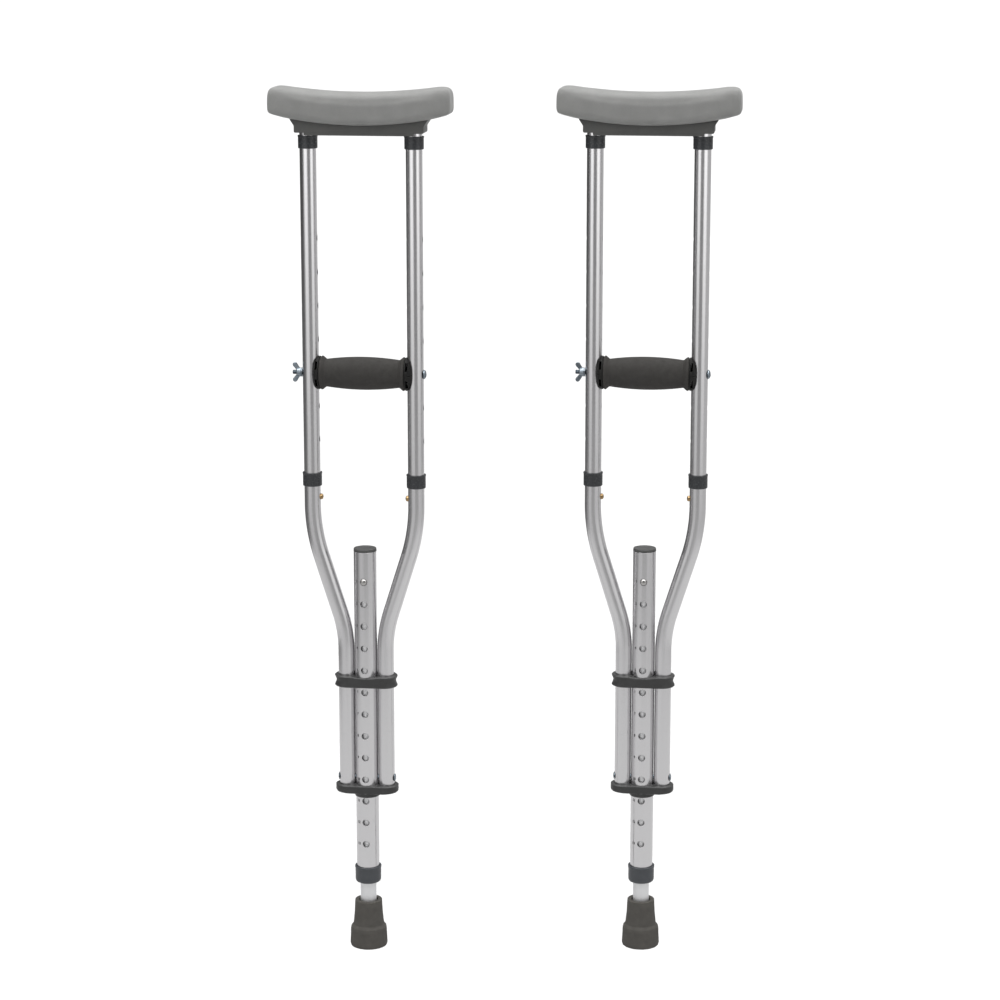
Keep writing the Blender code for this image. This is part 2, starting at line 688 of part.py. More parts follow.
def make_bolt():
    """One long slotted bolt through both side tubes and the grip; its head is on the right."""
    seat = SIDE_SPREAD + SIDE_RADIUS + GAP
    top = seat + BOLT_HEAD_HEIGHT
    head = [(BOLT_HEAD_RADIUS * across, top - BOLT_HEAD_HEIGHT * below) for across, below in BOLT_DOME]
    shank = [
        (BOLT_RADIUS, seat),
        (BOLT_RADIUS, -BOLT_END + BOLT_CHAMFER),
        (BOLT_RADIUS - BOLT_CHAMFER, -BOLT_END),
        (0, -BOLT_END),
    ]
    bolt = turned("grip_bolt", head + shank, SMALL_SIDES, "X", closed=False)
    slot = box(
        "slot",
        (top - SLOT_DEPTH, -BOLT_HEAD_RADIUS - OVERLAP, -SLOT_WIDTH / 2),
        (top + OVERLAP, BOLT_HEAD_RADIUS + OVERLAP, SLOT_WIDTH / 2),
    )
    return at(combine(bolt, slot, "DIFFERENCE"), (0, 0, GRIP_HEIGHT))


def washer_faces():
    """How far left of the axis the washer's inner and outer faces are."""
    inner = SIDE_SPREAD + SIDE_RADIUS + GAP
    return inner, inner + WASHER_THICKNESS


def make_nut_washer():
    inner, outer = washer_faces()
    profile = tube_profile(NUT_HUB_RADIUS, BOLT_HOLE, -outer, -inner)
    return at(turned("nut_washer", profile, SMALL_SIDES, "X"), (0, 0, GRIP_HEIGHT))


def wing_outline(side):
    """A wing in the nut's own plane: a small circle at the hub and a larger one at the tip."""
    root = Vector((WING_ROOT[0], side * WING_ROOT[1]))
    tip = Vector((WING_TIP[0], side * WING_TIP[1]))
    lean = math.degrees(math.atan2(tip.y - root.y, tip.x - root.x))
    outline = arc(tip, WING_TIP_RADIUS, lean - 90, lean + 90, 6)
    outline += arc(root, WING_ROOT_RADIUS, lean + 90, lean + 270, 4)
    return [(-along, across) for along, across in outline]


def make_wing_nut():
    """Hub and two wings, screwed on the bolt's left end."""
    profile = [
        (0, 0),
        (NUT_HUB_RADIUS, 0),
        (NUT_HUB_RADIUS, -NUT_RIM),
        (NUT_TOP_RADIUS, -NUT_HUB_HEIGHT),
        (0, -NUT_HUB_HEIGHT),
    ]
    nut = turned("wing_nut", profile, SMALL_SIDES, "X", closed=False)
    for side in (-1, 1):
        wing = extruded("wing", wing_outline(side), WING_HALF_THICKNESS, upright=True)
        nut = combine(nut, wing, "UNION")
    length = WING_TIP[0] + WING_TIP_RADIUS + 2 * OVERLAP
    nut = drill(nut, [(OVERLAP, 0, 0)], (-1, 0, 0), BOLT_HOLE, length, SMALL_SIDES)
    return at(nut, (-washer_faces()[1] - GAP, 0, GRIP_HEIGHT))


def at(obj, place, turn=0.0):
    obj.location = place
    obj.rotation_euler.z = turn
    return obj


def material(name):
    colour, roughness, metallic = MATERIALS[name]
    made = bpy.data.materials.new(name)
    made.use_nodes = True
    surface = made.node_tree.nodes["Principled BSDF"]
    surface.inputs["Base Color"].default_value = (*colour, 1)
    surface.inputs["Roughness"].default_value = roughness
    surface.inputs["Metallic"].default_value = metallic
    return made


def finish(obj, look):
    obj.data.materials.clear()
    obj.data.materials.append(look)
    obj.data.shade_smooth()
    obj.data.set_sharp_from_angle(angle=SMOOTH_ANGLE)


def make_crutch():
    """One crutch's pieces about its own axis, with the name of each one's material."""
    pieces = [
        (make_pad(), "pad_foam"),
        (make_base(), "base_plastic"),
        (make_upper_clamp(), "clamp_plastic"),
        (make_lower_clamp(), "clamp_plastic"),
        (make_centre_tube(), "aluminium"),
        (make_cap(), "clamp_plastic"),
        (make_leg_collar(), "collar_plastic"),
        (make_leg_tube(), "aluminium"),
        (make_leg_button(), "zinc_steel"),
        (make_tip(), "tip_rubber"),
        (make_tip_washer(), "zinc_steel"),
        (make_sleeve(), "grip_rubber"),
        (make_core(), "saddle_plastic"),
        (make_bolt(), "zinc_steel"),
        (make_nut_washer(), "zinc_steel"),
        (make_wing_nut(), "zinc_steel"),
    ]
    for letter, side in (("a", -1), ("b", 1)):
        pieces += [
            (make_upper_tube(f"upper_tube_{letter}", side), "aluminium"),
            (make_side_collar(f"top_collar_{letter}", side, TOP_COLLAR), "collar_plastic"),
            (make_side_collar(f"joint_collar_{letter}", side, JOINT_COLLAR), "collar_plastic"),
            (make_side_button(f"side_snap_button_{letter}", side), "brass"),
            (make_bow(f"bow_tube_{letter}", side), "aluminium"),
            (make_rivet(f"clamp_rivet_{letter}", side), "zinc_steel"),
            (make_saddle(f"grip_saddle_{letter}", side), "saddle_plastic"),
        ]
    return pieces


def place_crutches(pieces):
    """Puts a copy of every piece under each crutch's own empty."""
    looks = {name: material(name) for name in MATERIALS}
    for crutch, (across, back) in CRUTCH_PLACES.items():
        frame = link(crutch, None)
        frame.location = (across, back, 0)
        for piece, look in pieces:
            copy = piece.copy()
            copy.name = f"{crutch}_{piece.name}"
            copy.parent = frame
            PARTS.objects.link(copy)
            finish(copy, looks[look])
    for piece, _ in pieces:
        bpy.data.objects.remove(piece)


for old in list(bpy.data.objects):
    bpy.data.objects.remove(old)
PARTS = new_collection("underarm_crutches")
place_crutches(make_crutch())
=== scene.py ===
"""The looks of a pair of underarm crutches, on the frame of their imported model.

Every piece is made once, about the left crutch's own axis, and then placed on both crutches.
Lengths are in metres. The letters a and b are the wing nut's side and the bolt head's side.
"""

import json
import math

import bmesh
import bpy
from mathutils import Matrix, Vector

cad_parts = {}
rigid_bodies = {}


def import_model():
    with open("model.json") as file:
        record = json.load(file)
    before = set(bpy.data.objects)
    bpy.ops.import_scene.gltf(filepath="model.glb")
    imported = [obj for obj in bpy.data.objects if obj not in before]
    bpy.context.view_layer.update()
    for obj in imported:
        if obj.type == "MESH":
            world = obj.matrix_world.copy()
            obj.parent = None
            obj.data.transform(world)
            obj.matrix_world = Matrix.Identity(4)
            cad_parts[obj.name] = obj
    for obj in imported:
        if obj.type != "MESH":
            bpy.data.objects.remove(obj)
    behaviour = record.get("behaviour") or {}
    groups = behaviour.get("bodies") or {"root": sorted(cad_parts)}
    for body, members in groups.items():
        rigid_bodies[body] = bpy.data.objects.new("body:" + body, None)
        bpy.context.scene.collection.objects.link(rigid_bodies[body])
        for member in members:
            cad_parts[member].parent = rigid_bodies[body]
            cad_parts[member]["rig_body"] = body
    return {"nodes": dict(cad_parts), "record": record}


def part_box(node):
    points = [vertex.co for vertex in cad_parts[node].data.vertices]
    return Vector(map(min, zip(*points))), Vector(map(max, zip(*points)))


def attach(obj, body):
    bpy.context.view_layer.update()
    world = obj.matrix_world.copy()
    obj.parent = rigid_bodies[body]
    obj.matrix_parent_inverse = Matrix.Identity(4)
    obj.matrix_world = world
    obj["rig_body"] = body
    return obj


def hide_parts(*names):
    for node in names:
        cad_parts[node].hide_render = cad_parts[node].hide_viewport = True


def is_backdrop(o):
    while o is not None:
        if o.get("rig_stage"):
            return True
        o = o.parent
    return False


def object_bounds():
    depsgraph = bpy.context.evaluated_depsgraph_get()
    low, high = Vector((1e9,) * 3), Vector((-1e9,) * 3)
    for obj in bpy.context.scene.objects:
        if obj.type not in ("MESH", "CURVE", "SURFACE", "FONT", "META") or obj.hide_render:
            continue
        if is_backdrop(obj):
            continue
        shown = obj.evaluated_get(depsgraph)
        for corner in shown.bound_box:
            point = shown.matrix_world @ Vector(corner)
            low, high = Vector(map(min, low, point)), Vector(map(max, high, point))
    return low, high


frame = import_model()
cad_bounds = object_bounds()

CRUTCHES = ("left_crutch", "right_crutch")
SIDES_OF_FRAME = (("a", -1), ("b", 1))


def axis_of(crutch):
    """Where a crutch's own axis meets its tip's sole."""
    low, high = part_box(f"{crutch}_centre_tube")
    return Vector(((low.x + high.x) / 2, (low.y + high.y) / 2, 0))


AXES = {crutch: axis_of(crutch) for crutch in CRUTCHES}


def box_of(node):
    """(lowest, highest) corner of a CAD node, from the crutch's own axis."""
    low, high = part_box(f"left_crutch_{node}")
    return low - AXES["left_crutch"], high - AXES["left_crutch"]


def width_of(node):
    low, high = box_of(node)
    return high.x - low.x


# Fineness
SIDES = 64
SMALL_SIDES = 40
FILLET_STEPS = 4
SHARP_ANGLE = math.radians(32)
TINY = 0.000001
OVERLAP = 0.002  # how far cutting and joined solids reach past a face
GAP = 0.0003
FILLET_SHARE = 0.49  # the most of an edge that one fillet takes
BEVEL_ANGLE = math.radians(50)  # edges sharper than this are bevelled
BEVEL_SEGMENTS = 3
WALL_MATCH = 0.97  # how nearly a face has to follow an exact normal to take it

# Fillets, from the crispest
CRISP = 0.0002
EASED = 0.0003
SOFT = 0.0004
ROUNDED = 0.0006
FULL = 0.0008

# Tubes
SIDE_RADIUS = width_of("upper_tube_b") / 2
SIDE_WALL = 0.0013
SIDE_BORE = SIDE_RADIUS - SIDE_WALL
SIDE_SPREAD = box_of("upper_tube_b")[1].x - SIDE_RADIUS
PLUG_RADIUS = SIDE_BORE - 0.0004
SWAGE_LENGTH = 0.0020
CENTRE_RADIUS = width_of("centre_tube") / 2
CENTRE_BORE = CENTRE_RADIUS - 0.0016
LEG_RADIUS = width_of("leg_tube") / 2
LEG_BORE = LEG_RADIUS - 0.0014
LOWER_SPREAD = CENTRE_RADIUS + SIDE_RADIUS + GAP
TUBE_EDGE = 0.0003

# Bow bends
BOW_BOTTOM = box_of("bow_tube_b")[0].z
BOW_TOP = box_of("bow_tube_b")[1].z
BEND_TOP = 0.5140
BEND_ANGLE = math.radians(17.5)
UPPER_BEND_RADIUS = 0.196
LOWER_BEND_RADIUS = 0.138
BEND_STEPS = 14

# Leg height holes
LEG_HOLES = 13
LEG_HOLE_PITCH = 0.0254
LEG_HOLE_RADIUS = 0.0040
TOP_LEG_HOLE = 0.4283
FRONT_DRILL = 0.0080  # through the front wall only
DEBURR_DEPTH = 0.0004  # of the slightly widened mouth of each hole
LEG_HOLE_MOUTH = 0.0044
MARK_TURN = math.radians(-41)  # from the front, round to the left
MARK_HEIGHT = 0.0042
MARK_BOLDNESS = 0.00014
MARK_THICKNESS = 0.00004

# Handgrip holes
GRIP_HEIGHT = sum(corner.z for corner in box_of("grip_sleeve")) / 2
GRIP_HOLE_PITCH = 0.0370
GRIP_HOLE_STEPS = range(-2, 5)
BOLT_RADIUS = 0.0025
BOLT_HOLE = 0.0029

SADDLE_WINDOW = (0.0050, 0.0140)  # from the grip's axis, above and below it

# Snap buttons: radius, tip, front leaf, back leaf and drop of the V
SIDE_BUTTON_HEIGHT = 0.5220
SIDE_BUTTON = (0.0032, SIDE_RADIUS + 0.0030, 0.0050, -0.0006, 0.0130)
LEG_BUTTON = (0.0036, CENTRE_RADIUS + 0.0020, 0.0062, -0.0020, 0.0200)
CLIP_THICKNESS = 0.0006
CLIP_RISE = 0.0060
CLIP_STEPS = 6
CLIP_HALF_WIDTH = 0.9  # in the button's radii
CLIP_BEND_DROP = 0.8  # where the V's bend begins, as a share of its drop
BUTTON_DOME = 0.55  # the dome's height in radii

# Clamps
RIVET_HEIGHT = 0.2000
RIVET_RADIUS = 0.0025
RIVET_HEAD = (0.0044, 0.0013)
RIVET_TAIL = (0.0034, 0.0007)
RIVET_TAIL_FACE = 0.0103
CLAMP_ROUNDING = 0.0010
CLAMP_WAIST = 0.0019
CLAMP_DIP = 0.0018
CLAMP_CORNER = 0.0028  # of the lower clamp's bottom ends
CLAMP_FLOOR = 0.0035  # under the bows' ends
CLAMP_DRILL = 0.0500  # longer than either clamp is tall
CLAMP_COLUMNS = 48
CLAMP_LEVELS = 14
BOSS_ROOT_RADIUS = 0.0151
BOSS_RADIUS = 0.0144
BOSS_BOTTOM_RADIUS = 0.0140
BOSS_SHOULDER = (0.0012, 0.0014)  # its drop and its fillet

# Pad and base
PAD_HALF_LENGTH = box_of("underarm_pad")[1].x
PAD_HALF_DEPTH = box_of("underarm_pad")[1].y
PAD_TOP_RISE = 0.0067
PAD_TOP = box_of("underarm_pad")[1].z - PAD_TOP_RISE
PAD_BOTTOM = box_of("underarm_pad")[0].z
PAD_BOTTOM_RISE = 0.0066
PAD_CORNER = 0.0110
PAD_LOWER_CORNER = 0.0042
PAD_CORNER_REACH = 2.1  # how far along the outline a corner reaches, in its own size
PAD_TOP_ROUNDING = 0.0088  # over the front and back edges of the top
PAD_END_ROUNDING = 0.0070
PAD_BOTTOM_ROUNDING = 0.0022
PAD_SWELL = 0.0008
PAD_VOXEL = 0.0025
PAD_STEPS = 40
PAD_EDGE_STEPS = 12
PAD_CLOTH_MASS = 0.3
SIM_FRAMES = 20
BASE_STEP = 0.0027
BASE_STEP_START = 0.0596
BASE_CORNER = 0.0019
BASE_SHOULDER = box_of("pad_base")[1].x
BASE_HALF_LENGTH = 0.0704
BASE_HALF_DEPTH = box_of("pad_base")[1].y
BASE_EDGE = 0.0020
BASE_FLARE = 0.0030
TONGUE_HALF_SIZE = (0.050, 0.0060)

# Camera: the pair's middle stands a little right of the picture's middle
CAMERA_TURN = math.radians(7)
CAMERA_PITCH = math.radians(12.1)
CAMERA_DISTANCE = 3.027
CAMERA_HEIGHT = 1.168
CAMERA_LEFT = 0.0054
CAMERA_LENS = 100.8
CAMERA_SENSOR = 36


# ---- Shapes ----


def add_object(name, mesh):
    obj = bpy.data.objects.new(name, mesh)
    bpy.context.scene.collection.objects.link(obj)
    return obj


def mesh_from(name, shape):
    mesh = bpy.data.meshes.new(name)
    bmesh.ops.recalc_face_normals(shape, faces=shape.faces)
    shape.to_mesh(mesh)
    shape.free()
    return add_object(name, mesh)


def applied(obj):
    """The object with its modifiers and its transform in its mesh."""
    bpy.context.view_layer.update()
    depsgraph = bpy.context.evaluated_depsgraph_get()
    mesh = bpy.data.meshes.new_from_object(obj.evaluated_get(depsgraph))
    mesh.transform(obj.matrix_world)
    obj.modifiers.clear()
    obj.data = mesh
    obj.matrix_world = Matrix.Identity(4)
    return obj


def moved(obj, place=(0, 0, 0), turn=0.0):
    """Shifts the mesh itself, after turning it about Z."""
    obj.data.transform(Matrix.Translation(place) @ Matrix.Rotation(turn, 4, "Z"))
    return obj


def lofted(name, rings, closed=False):
    """Joins rings of points one after the other; a ring of a single point closes an end."""
    shape = bmesh.new()
    loops = [[shape.verts.new(point) for point in ring] for ring in rings]
    pairs = list(zip(loops, loops[1:]))
    if closed:
        pairs.append((loops[-1], loops[0]))
    for one, other in pairs:
        count = max(len(one), len(other))
        for i in range(count):
            j = i + 1
            corners = [one[i % len(one)], one[j % len(one)], other[j % len(other)], other[i % len(other)]]
            corners = list(dict.fromkeys(corners))
            if len(corners) > 2:
                shape.faces.new(corners)
    bmesh.ops.remove_doubles(shape, verts=shape.verts, dist=TINY)
    bmesh.ops.dissolve_degenerate(shape, edges=shape.edges, dist=TINY)
    return mesh_from(name, shape)


def evenly(start, end, steps):
    return [start + (end - start) * i / steps for i in range(steps + 1)]


def full_turn(sides):
    return evenly(0, 2 * math.pi, sides)[:-1]


def circle(radius, height, sides, axis="Z"):
    if radius < TINY:
        return [(0, 0, height) if axis == "Z" else (height, 0, 0)]
    points = [(radius * math.cos(turn), radius * math.sin(turn), height) for turn in full_turn(sides)]
    return points if axis == "Z" else [(z, x, y) for x, y, z in points]


def filleted(corners, closed=True):
    """(across, along, fillet) corners as (across, along) points, each corner rounded by its fillet."""
    points = []
    for i, (across, along, fillet) in enumerate(corners):
        here = Vector((across, along))
        at_end = not closed and i in (0, len(corners) - 1)
        if fillet < TINY or at_end:
            points.append((across, along))
            continue
        back = Vector(corners[i - 1][:2]) - here
        ahead = Vector(corners[(i + 1) % len(corners)][:2]) - here
        reach = fillet / math.tan(back.angle(ahead) / 2)
        start = here + back.normalized() * min(reach, back.length * FILLET_SHARE)
        end = here + ahead.normalized() * min(reach, ahead.length * FILLET_SHARE)
        for step in range(FILLET_STEPS + 1):
            share = step / FILLET_STEPS
            point = start.lerp(here, share).lerp(here.lerp(end, share), share)
            points.append(tuple(point))
    return points


def turned(name, corners, sides=SIDES, axis="Z", closed=True):
    """Turns (radius, along, fillet) corners about an axis; an open profile starts and ends on it."""
    profile = filleted(corners, closed)
    return lofted(name, [circle(radius, along, sides, axis) for radius, along in profile], closed)


def arc(centre, radius, start, end, steps):
    """Points on a circle, angles in degrees."""
    angles = [math.radians(angle) for angle in evenly(start, end, steps)]
    return [(centre[0] + radius * math.cos(a), centre[1] + radius * math.sin(a)) for a in angles]


def inwards(rows, radius, height):
    """Corners from (in from a radius, down from a height, fillet) rows."""
    return [(radius - inward, height - down, fillet) for inward, down, fillet in rows]


def dome(radius, base, rise, steps=10):
    """Corners for turned, from a dome's top to its rim."""
    return [(radius * x, base + rise * z, 0) for x, z in arc((0, 0), 1, 90, 0, steps)]


def combined(obj, other, operation):
    boolean = obj.modifiers.new(operation.title(), "BOOLEAN")
    boolean.operation = operation
    boolean.solver = "EXACT"
    boolean.object = other
    applied(obj)
    bpy.data.objects.remove(other)
    return obj


def drilled(obj, starts, direction, radius, length, sides=SMALL_SIDES, mouth=None):
    """Cuts round holes along one direction; each start is the hole's mouth, which may be wider."""
    direction = Vector(direction)
    turn = direction.to_track_quat("Z", "Y").to_matrix().to_4x4()
    shape = bmesh.new()
    for start in starts:
        place = Matrix.Translation(Vector(start) + direction * (length / 2))
        size = {"radius1": mouth or radius, "radius2": radius, "depth": length}
        bmesh.ops.create_cone(shape, cap_ends=True, segments=sides, matrix=place @ turn, **size)
    return combined(obj, mesh_from("drill", shape), "DIFFERENCE")


def block(low, high):
    shape = bmesh.new()
    bmesh.ops.create_cube(shape, size=1)
    bmesh.ops.scale(shape, vec=Vector(high) - Vector(low), verts=shape.verts)
    bmesh.ops.translate(shape, vec=(Vector(high) + Vector(low)) / 2, verts=shape.verts)
    return mesh_from("block", shape)


def slab(name, outline, half_depth, edge):
    """An (across, height) outline thickened along Y, with its front and back edges rounded."""
    shape = bmesh.new()
    front = shape.faces.new([shape.verts.new((x, -half_depth, z)) for x, z in outline])
    extruded = bmesh.ops.extrude_face_region(shape, geom=[front])["geom"]
    back = [part for part in extruded if isinstance(part, bmesh.types.BMVert)]
    bmesh.ops.translate(shape, vec=(0, 2 * half_depth, 0), verts=back)
    obj = mesh_from(name, shape)
    bevel = obj.modifiers.new("Edge", "BEVEL")
    bevel.width = edge
    bevel.segments = BEVEL_SEGMENTS
    bevel.angle_limit = BEVEL_ANGLE
    return applied(obj)


def smoothed(obj, passes):
    """Adds a smoothing that applied takes in."""
    obj.modifiers.new("Even", "SMOOTH").iterations = passes


def reskinned(obj, voxel, passes):
    """Gives a solid one even skin with softened edges."""
    remesh = obj.modifiers.new("Skin", "REMESH")
    remesh.mode = "VOXEL"
    remesh.voxel_size = voxel
    smoothed(obj, passes)
    return applied(obj)


def shade(obj, normal_at=None):
    """Smooth shading with sharp edges. Round walls take the exact normal that normal_at gives."""
    mesh = obj.data
    mesh.shade_smooth()
    mesh.set_sharp_from_angle(angle=SHARP_ANGLE)
    if normal_at is None:
        return obj
    normals = [Vector(corner.vector) for corner in mesh.corner_normals]
    for face in mesh.polygons:
        for loop in face.loop_indices:
            exact = normal_at(mesh.vertices[mesh.loops[loop].vertex_index].co)
            along = face.normal.dot(exact)
            if abs(along) > WALL_MATCH:
                normals[loop] = exact * math.copysign(1, along)
    mesh.normals_split_custom_set(normals)
    return obj


def from_axis(across=0.0):
    """Gives the direction straight out from an upright axis, for shade."""
    return lambda point: Vector((point.x - across, point.y, 0)).normalized()


def on_grip_axis(obj, side=1):
    """Lifts a piece to the handgrip; the left side's is the right side's turned round."""
    return shade(moved(obj, (0, 0, GRIP_HEIGHT), math.pi if side < 0 else 0))


# ---- Tubes ----


def tube_corners(outer, bore, start, end, edge=TUBE_EDGE):
    return [(outer, end, edge), (outer, start, edge), (bore, start, edge), (bore, end, edge)]


def drilled_for_button(tube, across, side):
    """Opens the tube's inner wall for its side snap button."""
    start = [(across, 0, SIDE_BUTTON_HEIGHT)]
    return drilled(tube, start, (-side, 0, 0), SIDE_BUTTON[0] + GAP, 2 * SIDE_RADIUS)


def make_upper_tube(name, side):
    """A side tube whose lower end is swaged down to slip into the bow."""
    low, high = box_of(name)
    shoulder = BOW_TOP + GAP
    plug_bore = PLUG_RADIUS - SIDE_WALL
    corners = [
        (SIDE_RADIUS, high.z, TUBE_EDGE),
        (SIDE_RADIUS, shoulder + SWAGE_LENGTH, TUBE_EDGE),
        (PLUG_RADIUS, shoulder, TUBE_EDGE),
        (PLUG_RADIUS, low.z, TUBE_EDGE),
        (plug_bore, low.z, TUBE_EDGE),
        (plug_bore, shoulder + SWAGE_LENGTH, 0),
        (SIDE_BORE, shoulder + 2 * SWAGE_LENGTH, 0),
        (SIDE_BORE, high.z, TUBE_EDGE),
    ]
    tube = turned(name, corners)
    heights = [GRIP_HEIGHT + step * GRIP_HOLE_PITCH for step in GRIP_HOLE_STEPS]
    starts = [(-2 * SIDE_RADIUS, 0, height) for height in heights]
    drilled(tube, starts, (1, 0, 0), BOLT_HOLE, 4 * SIDE_RADIUS)
    drilled_for_button(tube, 0, side)
    return shade(moved(tube, (side * SIDE_SPREAD, 0, 0)), from_axis(side * SIDE_SPREAD))


def bow_path():
    """(across, height) points down a bow, from its upper end to its lower one."""
    angles = evenly(0, BEND_ANGLE, BEND_STEPS)
    points = [(SIDE_SPREAD, BOW_TOP)]
    for angle in angles:
        across = SIDE_SPREAD - UPPER_BEND_RADIUS * (1 - math.cos(angle))
        points.append((across, BEND_TOP - UPPER_BEND_RADIUS * math.sin(angle)))
    second_bend = LOWER_SPREAD + LOWER_BEND_RADIUS * (1 - math.cos(BEND_ANGLE))
    drop = (points[-1][0] - second_bend) / math.tan(BEND_ANGLE)
    bend_end = points[-1][1] - drop - LOWER_BEND_RADIUS * math.sin(BEND_ANGLE)
    for angle in reversed(angles):
        across = LOWER_SPREAD + LOWER_BEND_RADIUS * (1 - math.cos(angle))
        points.append((across, bend_end + LOWER_BEND_RADIUS * math.sin(angle)))
    return points + [(LOWER_SPREAD, BOW_BOTTOM)]


def make_bow(name, side):
    """The bent tube from the joint collar in to the centre tube."""
    centres = [Vector((side * across, 0, height)) for across, height in bow_path()]
    last = len(centres) - 1
    front = Vector((0, 1, 0))

    def ring(i, radius, inward=0.0):
        along = (centres[min(i + 1, last)] - centres[max(i - 1, 0)]).normalized()
        out = along.cross(front)
        centre = centres[i] + along * inward
        turns = full_turn(SIDES)
        return [centre + (out * math.cos(turn) + front * math.sin(turn)) * radius for turn in turns]

    outer = [ring(0, SIDE_RADIUS - TUBE_EDGE), ring(0, SIDE_RADIUS, TUBE_EDGE)]
    outer += [ring(i, SIDE_RADIUS) for i in range(1, last)]
    outer += [ring(last, SIDE_RADIUS, -TUBE_EDGE), ring(last, SIDE_RADIUS - TUBE_EDGE)]
    inner = [ring(i, SIDE_BORE) for i in range(last, -1, -1)]
    bow = lofted(name, outer + inner, closed=True)
    drilled_for_button(bow, side * SIDE_SPREAD, side)
    rivet = [(side * (LOWER_SPREAD + 2 * SIDE_RADIUS), 0, RIVET_HEIGHT)]
    drilled(bow, rivet, (-side, 0, 0), RIVET_RADIUS + GAP, 4 * SIDE_RADIUS)

    def out_from_path(point):
        """Straight out from the nearest stretch of the bow's middle line."""
        nearest = None
        for start, end in zip(centres, centres[1:]):
            run = end - start
            share = min(max((point - start).dot(run) / run.length_squared, 0), 1)
            away = point - (start + run * share)
            if nearest is None or away.length < nearest.length:
                nearest = away
        return nearest.normalized()

    return shade(bow, out_from_path)


def leg_hole_heights():
    return [TOP_LEG_HOLE - i * LEG_HOLE_PITCH for i in range(LEG_HOLES)]


def make_centre_tube():
    low, high = box_of("centre_tube")
    tube = turned("centre_tube", tube_corners(CENTRE_RADIUS, CENTRE_BORE, low.z, high.z))
    starts = [(0, -CENTRE_RADIUS - OVERLAP, height) for height in leg_hole_heights()]
    drilled(tube, starts, (0, 1, 0), LEG_HOLE_RADIUS, FRONT_DRILL)
    drilled(tube, starts, (0, 1, 0), LEG_HOLE_RADIUS, DEBURR_DEPTH + OVERLAP, mouth=LEG_HOLE_MOUTH)
    rivets = [(-2 * CENTRE_RADIUS, 0, RIVET_HEIGHT)]
    drilled(tube, rivets, (1, 0, 0), RIVET_RADIUS + GAP, 4 * CENTRE_RADIUS)
    return shade(tube, from_axis())


def make_leg_tube():
    low, high = box_of("leg_tube")
    leg = turned("leg_tube", tube_corners(LEG_RADIUS, LEG_BORE, low.z, high.z))
    drilled(leg, [(0, -LEG_RADIUS - OVERLAP, TOP_LEG_HOLE)], (0, 1, 0), LEG_HOLE_RADIUS, FRONT_DRILL)
    return shade(leg, from_axis())


def make_height_marks():
    """A small numeral printed beside each leg hole, wrapped on the centre tube."""
    shape = bmesh.new()
    for number, height in enumerate(leg_hole_heights(), start=1):
        words = bpy.data.curves.new("numeral", "FONT")
        words.body = str(number)
        words.size = MARK_HEIGHT
        words.align_x = words.align_y = "CENTER"
        words.extrude = MARK_THICKNESS
        words.offset = MARK_BOLDNESS
        text = add_object("numeral", words)
        bpy.context.view_layer.update()
        mesh = bpy.data.meshes.new_from_object(text.evaluated_get(bpy.context.evaluated_depsgraph_get()))
        mesh.transform(Matrix.Translation((0, height, 0)))
        shape.from_mesh(mesh)
        bpy.data.objects.remove(text)
    for vert in shape.verts:
        across, height, out = vert.co
        turn = MARK_TURN + across / CENTRE_RADIUS
        radius = CENTRE_RADIUS + MARK_THICKNESS + out
        vert.co = (radius * math.sin(turn), -radius * math.cos(turn), height)
    return mesh_from("height_marks", shape)


# ---- Moulded plastic ----


# Lips and rims, as rows for inwards
COLLAR_LIP = [(0, 0, EASED), (0, 0.0014, EASED), (0.0003, 0.0018, EASED)]
COLLAR_FOOT = (0.0003, 0.0013)  # inset and fillet
LEG_COLLAR_LIP = [(0, 0, SOFT), (0, 0.0022, SOFT), (0.0004, 0.0030, SOFT)]
LEG_COLLAR_FOOT = (0.0004, 0.0040)
LEG_GUIDE = LEG_RADIUS + 0.0004
CAP_RIM = [(0.0024, 0.0004, SOFT), (0.0019, 0, EASED), (0.0004, 0, ROUNDED)]
CAP_WALL = 0.0015


def make_collar(name, side):
    """A sleeve with a thin lip round its top and a rounded lower edge."""
    low, high = box_of(name)
    radius = (high.x - low.x) / 2
    bore = SIDE_RADIUS + GAP
    inset, fillet = COLLAR_FOOT
    corners = inwards(COLLAR_LIP, radius, high.z)
    corners += [(radius - inset, low.z, fillet), (bore, low.z, CRISP), (bore, high.z, CRISP)]
    return shade(moved(turned(name, corners), (side * SIDE_SPREAD, 0, 0)))


def make_leg_collar():
    """A cup on the centre tube's lower end, with a close bore for the leg."""
    low, high = box_of("leg_collar")
    socket = CENTRE_RADIUS + GAP
    seat = box_of("centre_tube")[0].z - GAP
    inset, fillet = LEG_COLLAR_FOOT
    corners = inwards(LEG_COLLAR_LIP, high.x, high.z)
    corners += [(high.x - inset, low.z, fillet), (LEG_GUIDE, low.z, EASED), (LEG_GUIDE, seat, 0)]
    return shade(turned("leg_collar", corners + [(socket, seat, 0), (socket, high.z, EASED)]))


def make_cap():
    """A plug in the centre tube, with a raised ring round its slightly sunken top."""
    low, high = box_of("centre_tube_cap")
    under = box_of("centre_tube")[1].z + GAP
    plug = CENTRE_BORE - GAP
    inner = plug - CAP_WALL
    ring = inwards(CAP_RIM, high.x, high.z)
    plug_corners = [(plug, under, 0), (plug, low.z, EASED), (inner, low.z, EASED), (inner, under, 0)]
    corners = [(0, ring[0][1], 0), *ring, (high.x, under, CRISP), *plug_corners, (0, under, 0)]
    return shade(turned("centre_tube_cap", corners, closed=False))


def clamp_columns(half_length, half_depth):
    """(across, depth) down half of a round-ended bar's outline, seen from above."""
    columns = []
    for turn in evenly(0, math.pi, CLAMP_COLUMNS):
        across = -half_length * math.cos(turn)
        past = max(abs(across) - (half_length - half_depth), 0)
        columns.append((across, math.sqrt(max(half_depth**2 - past**2, 0))))
    return columns


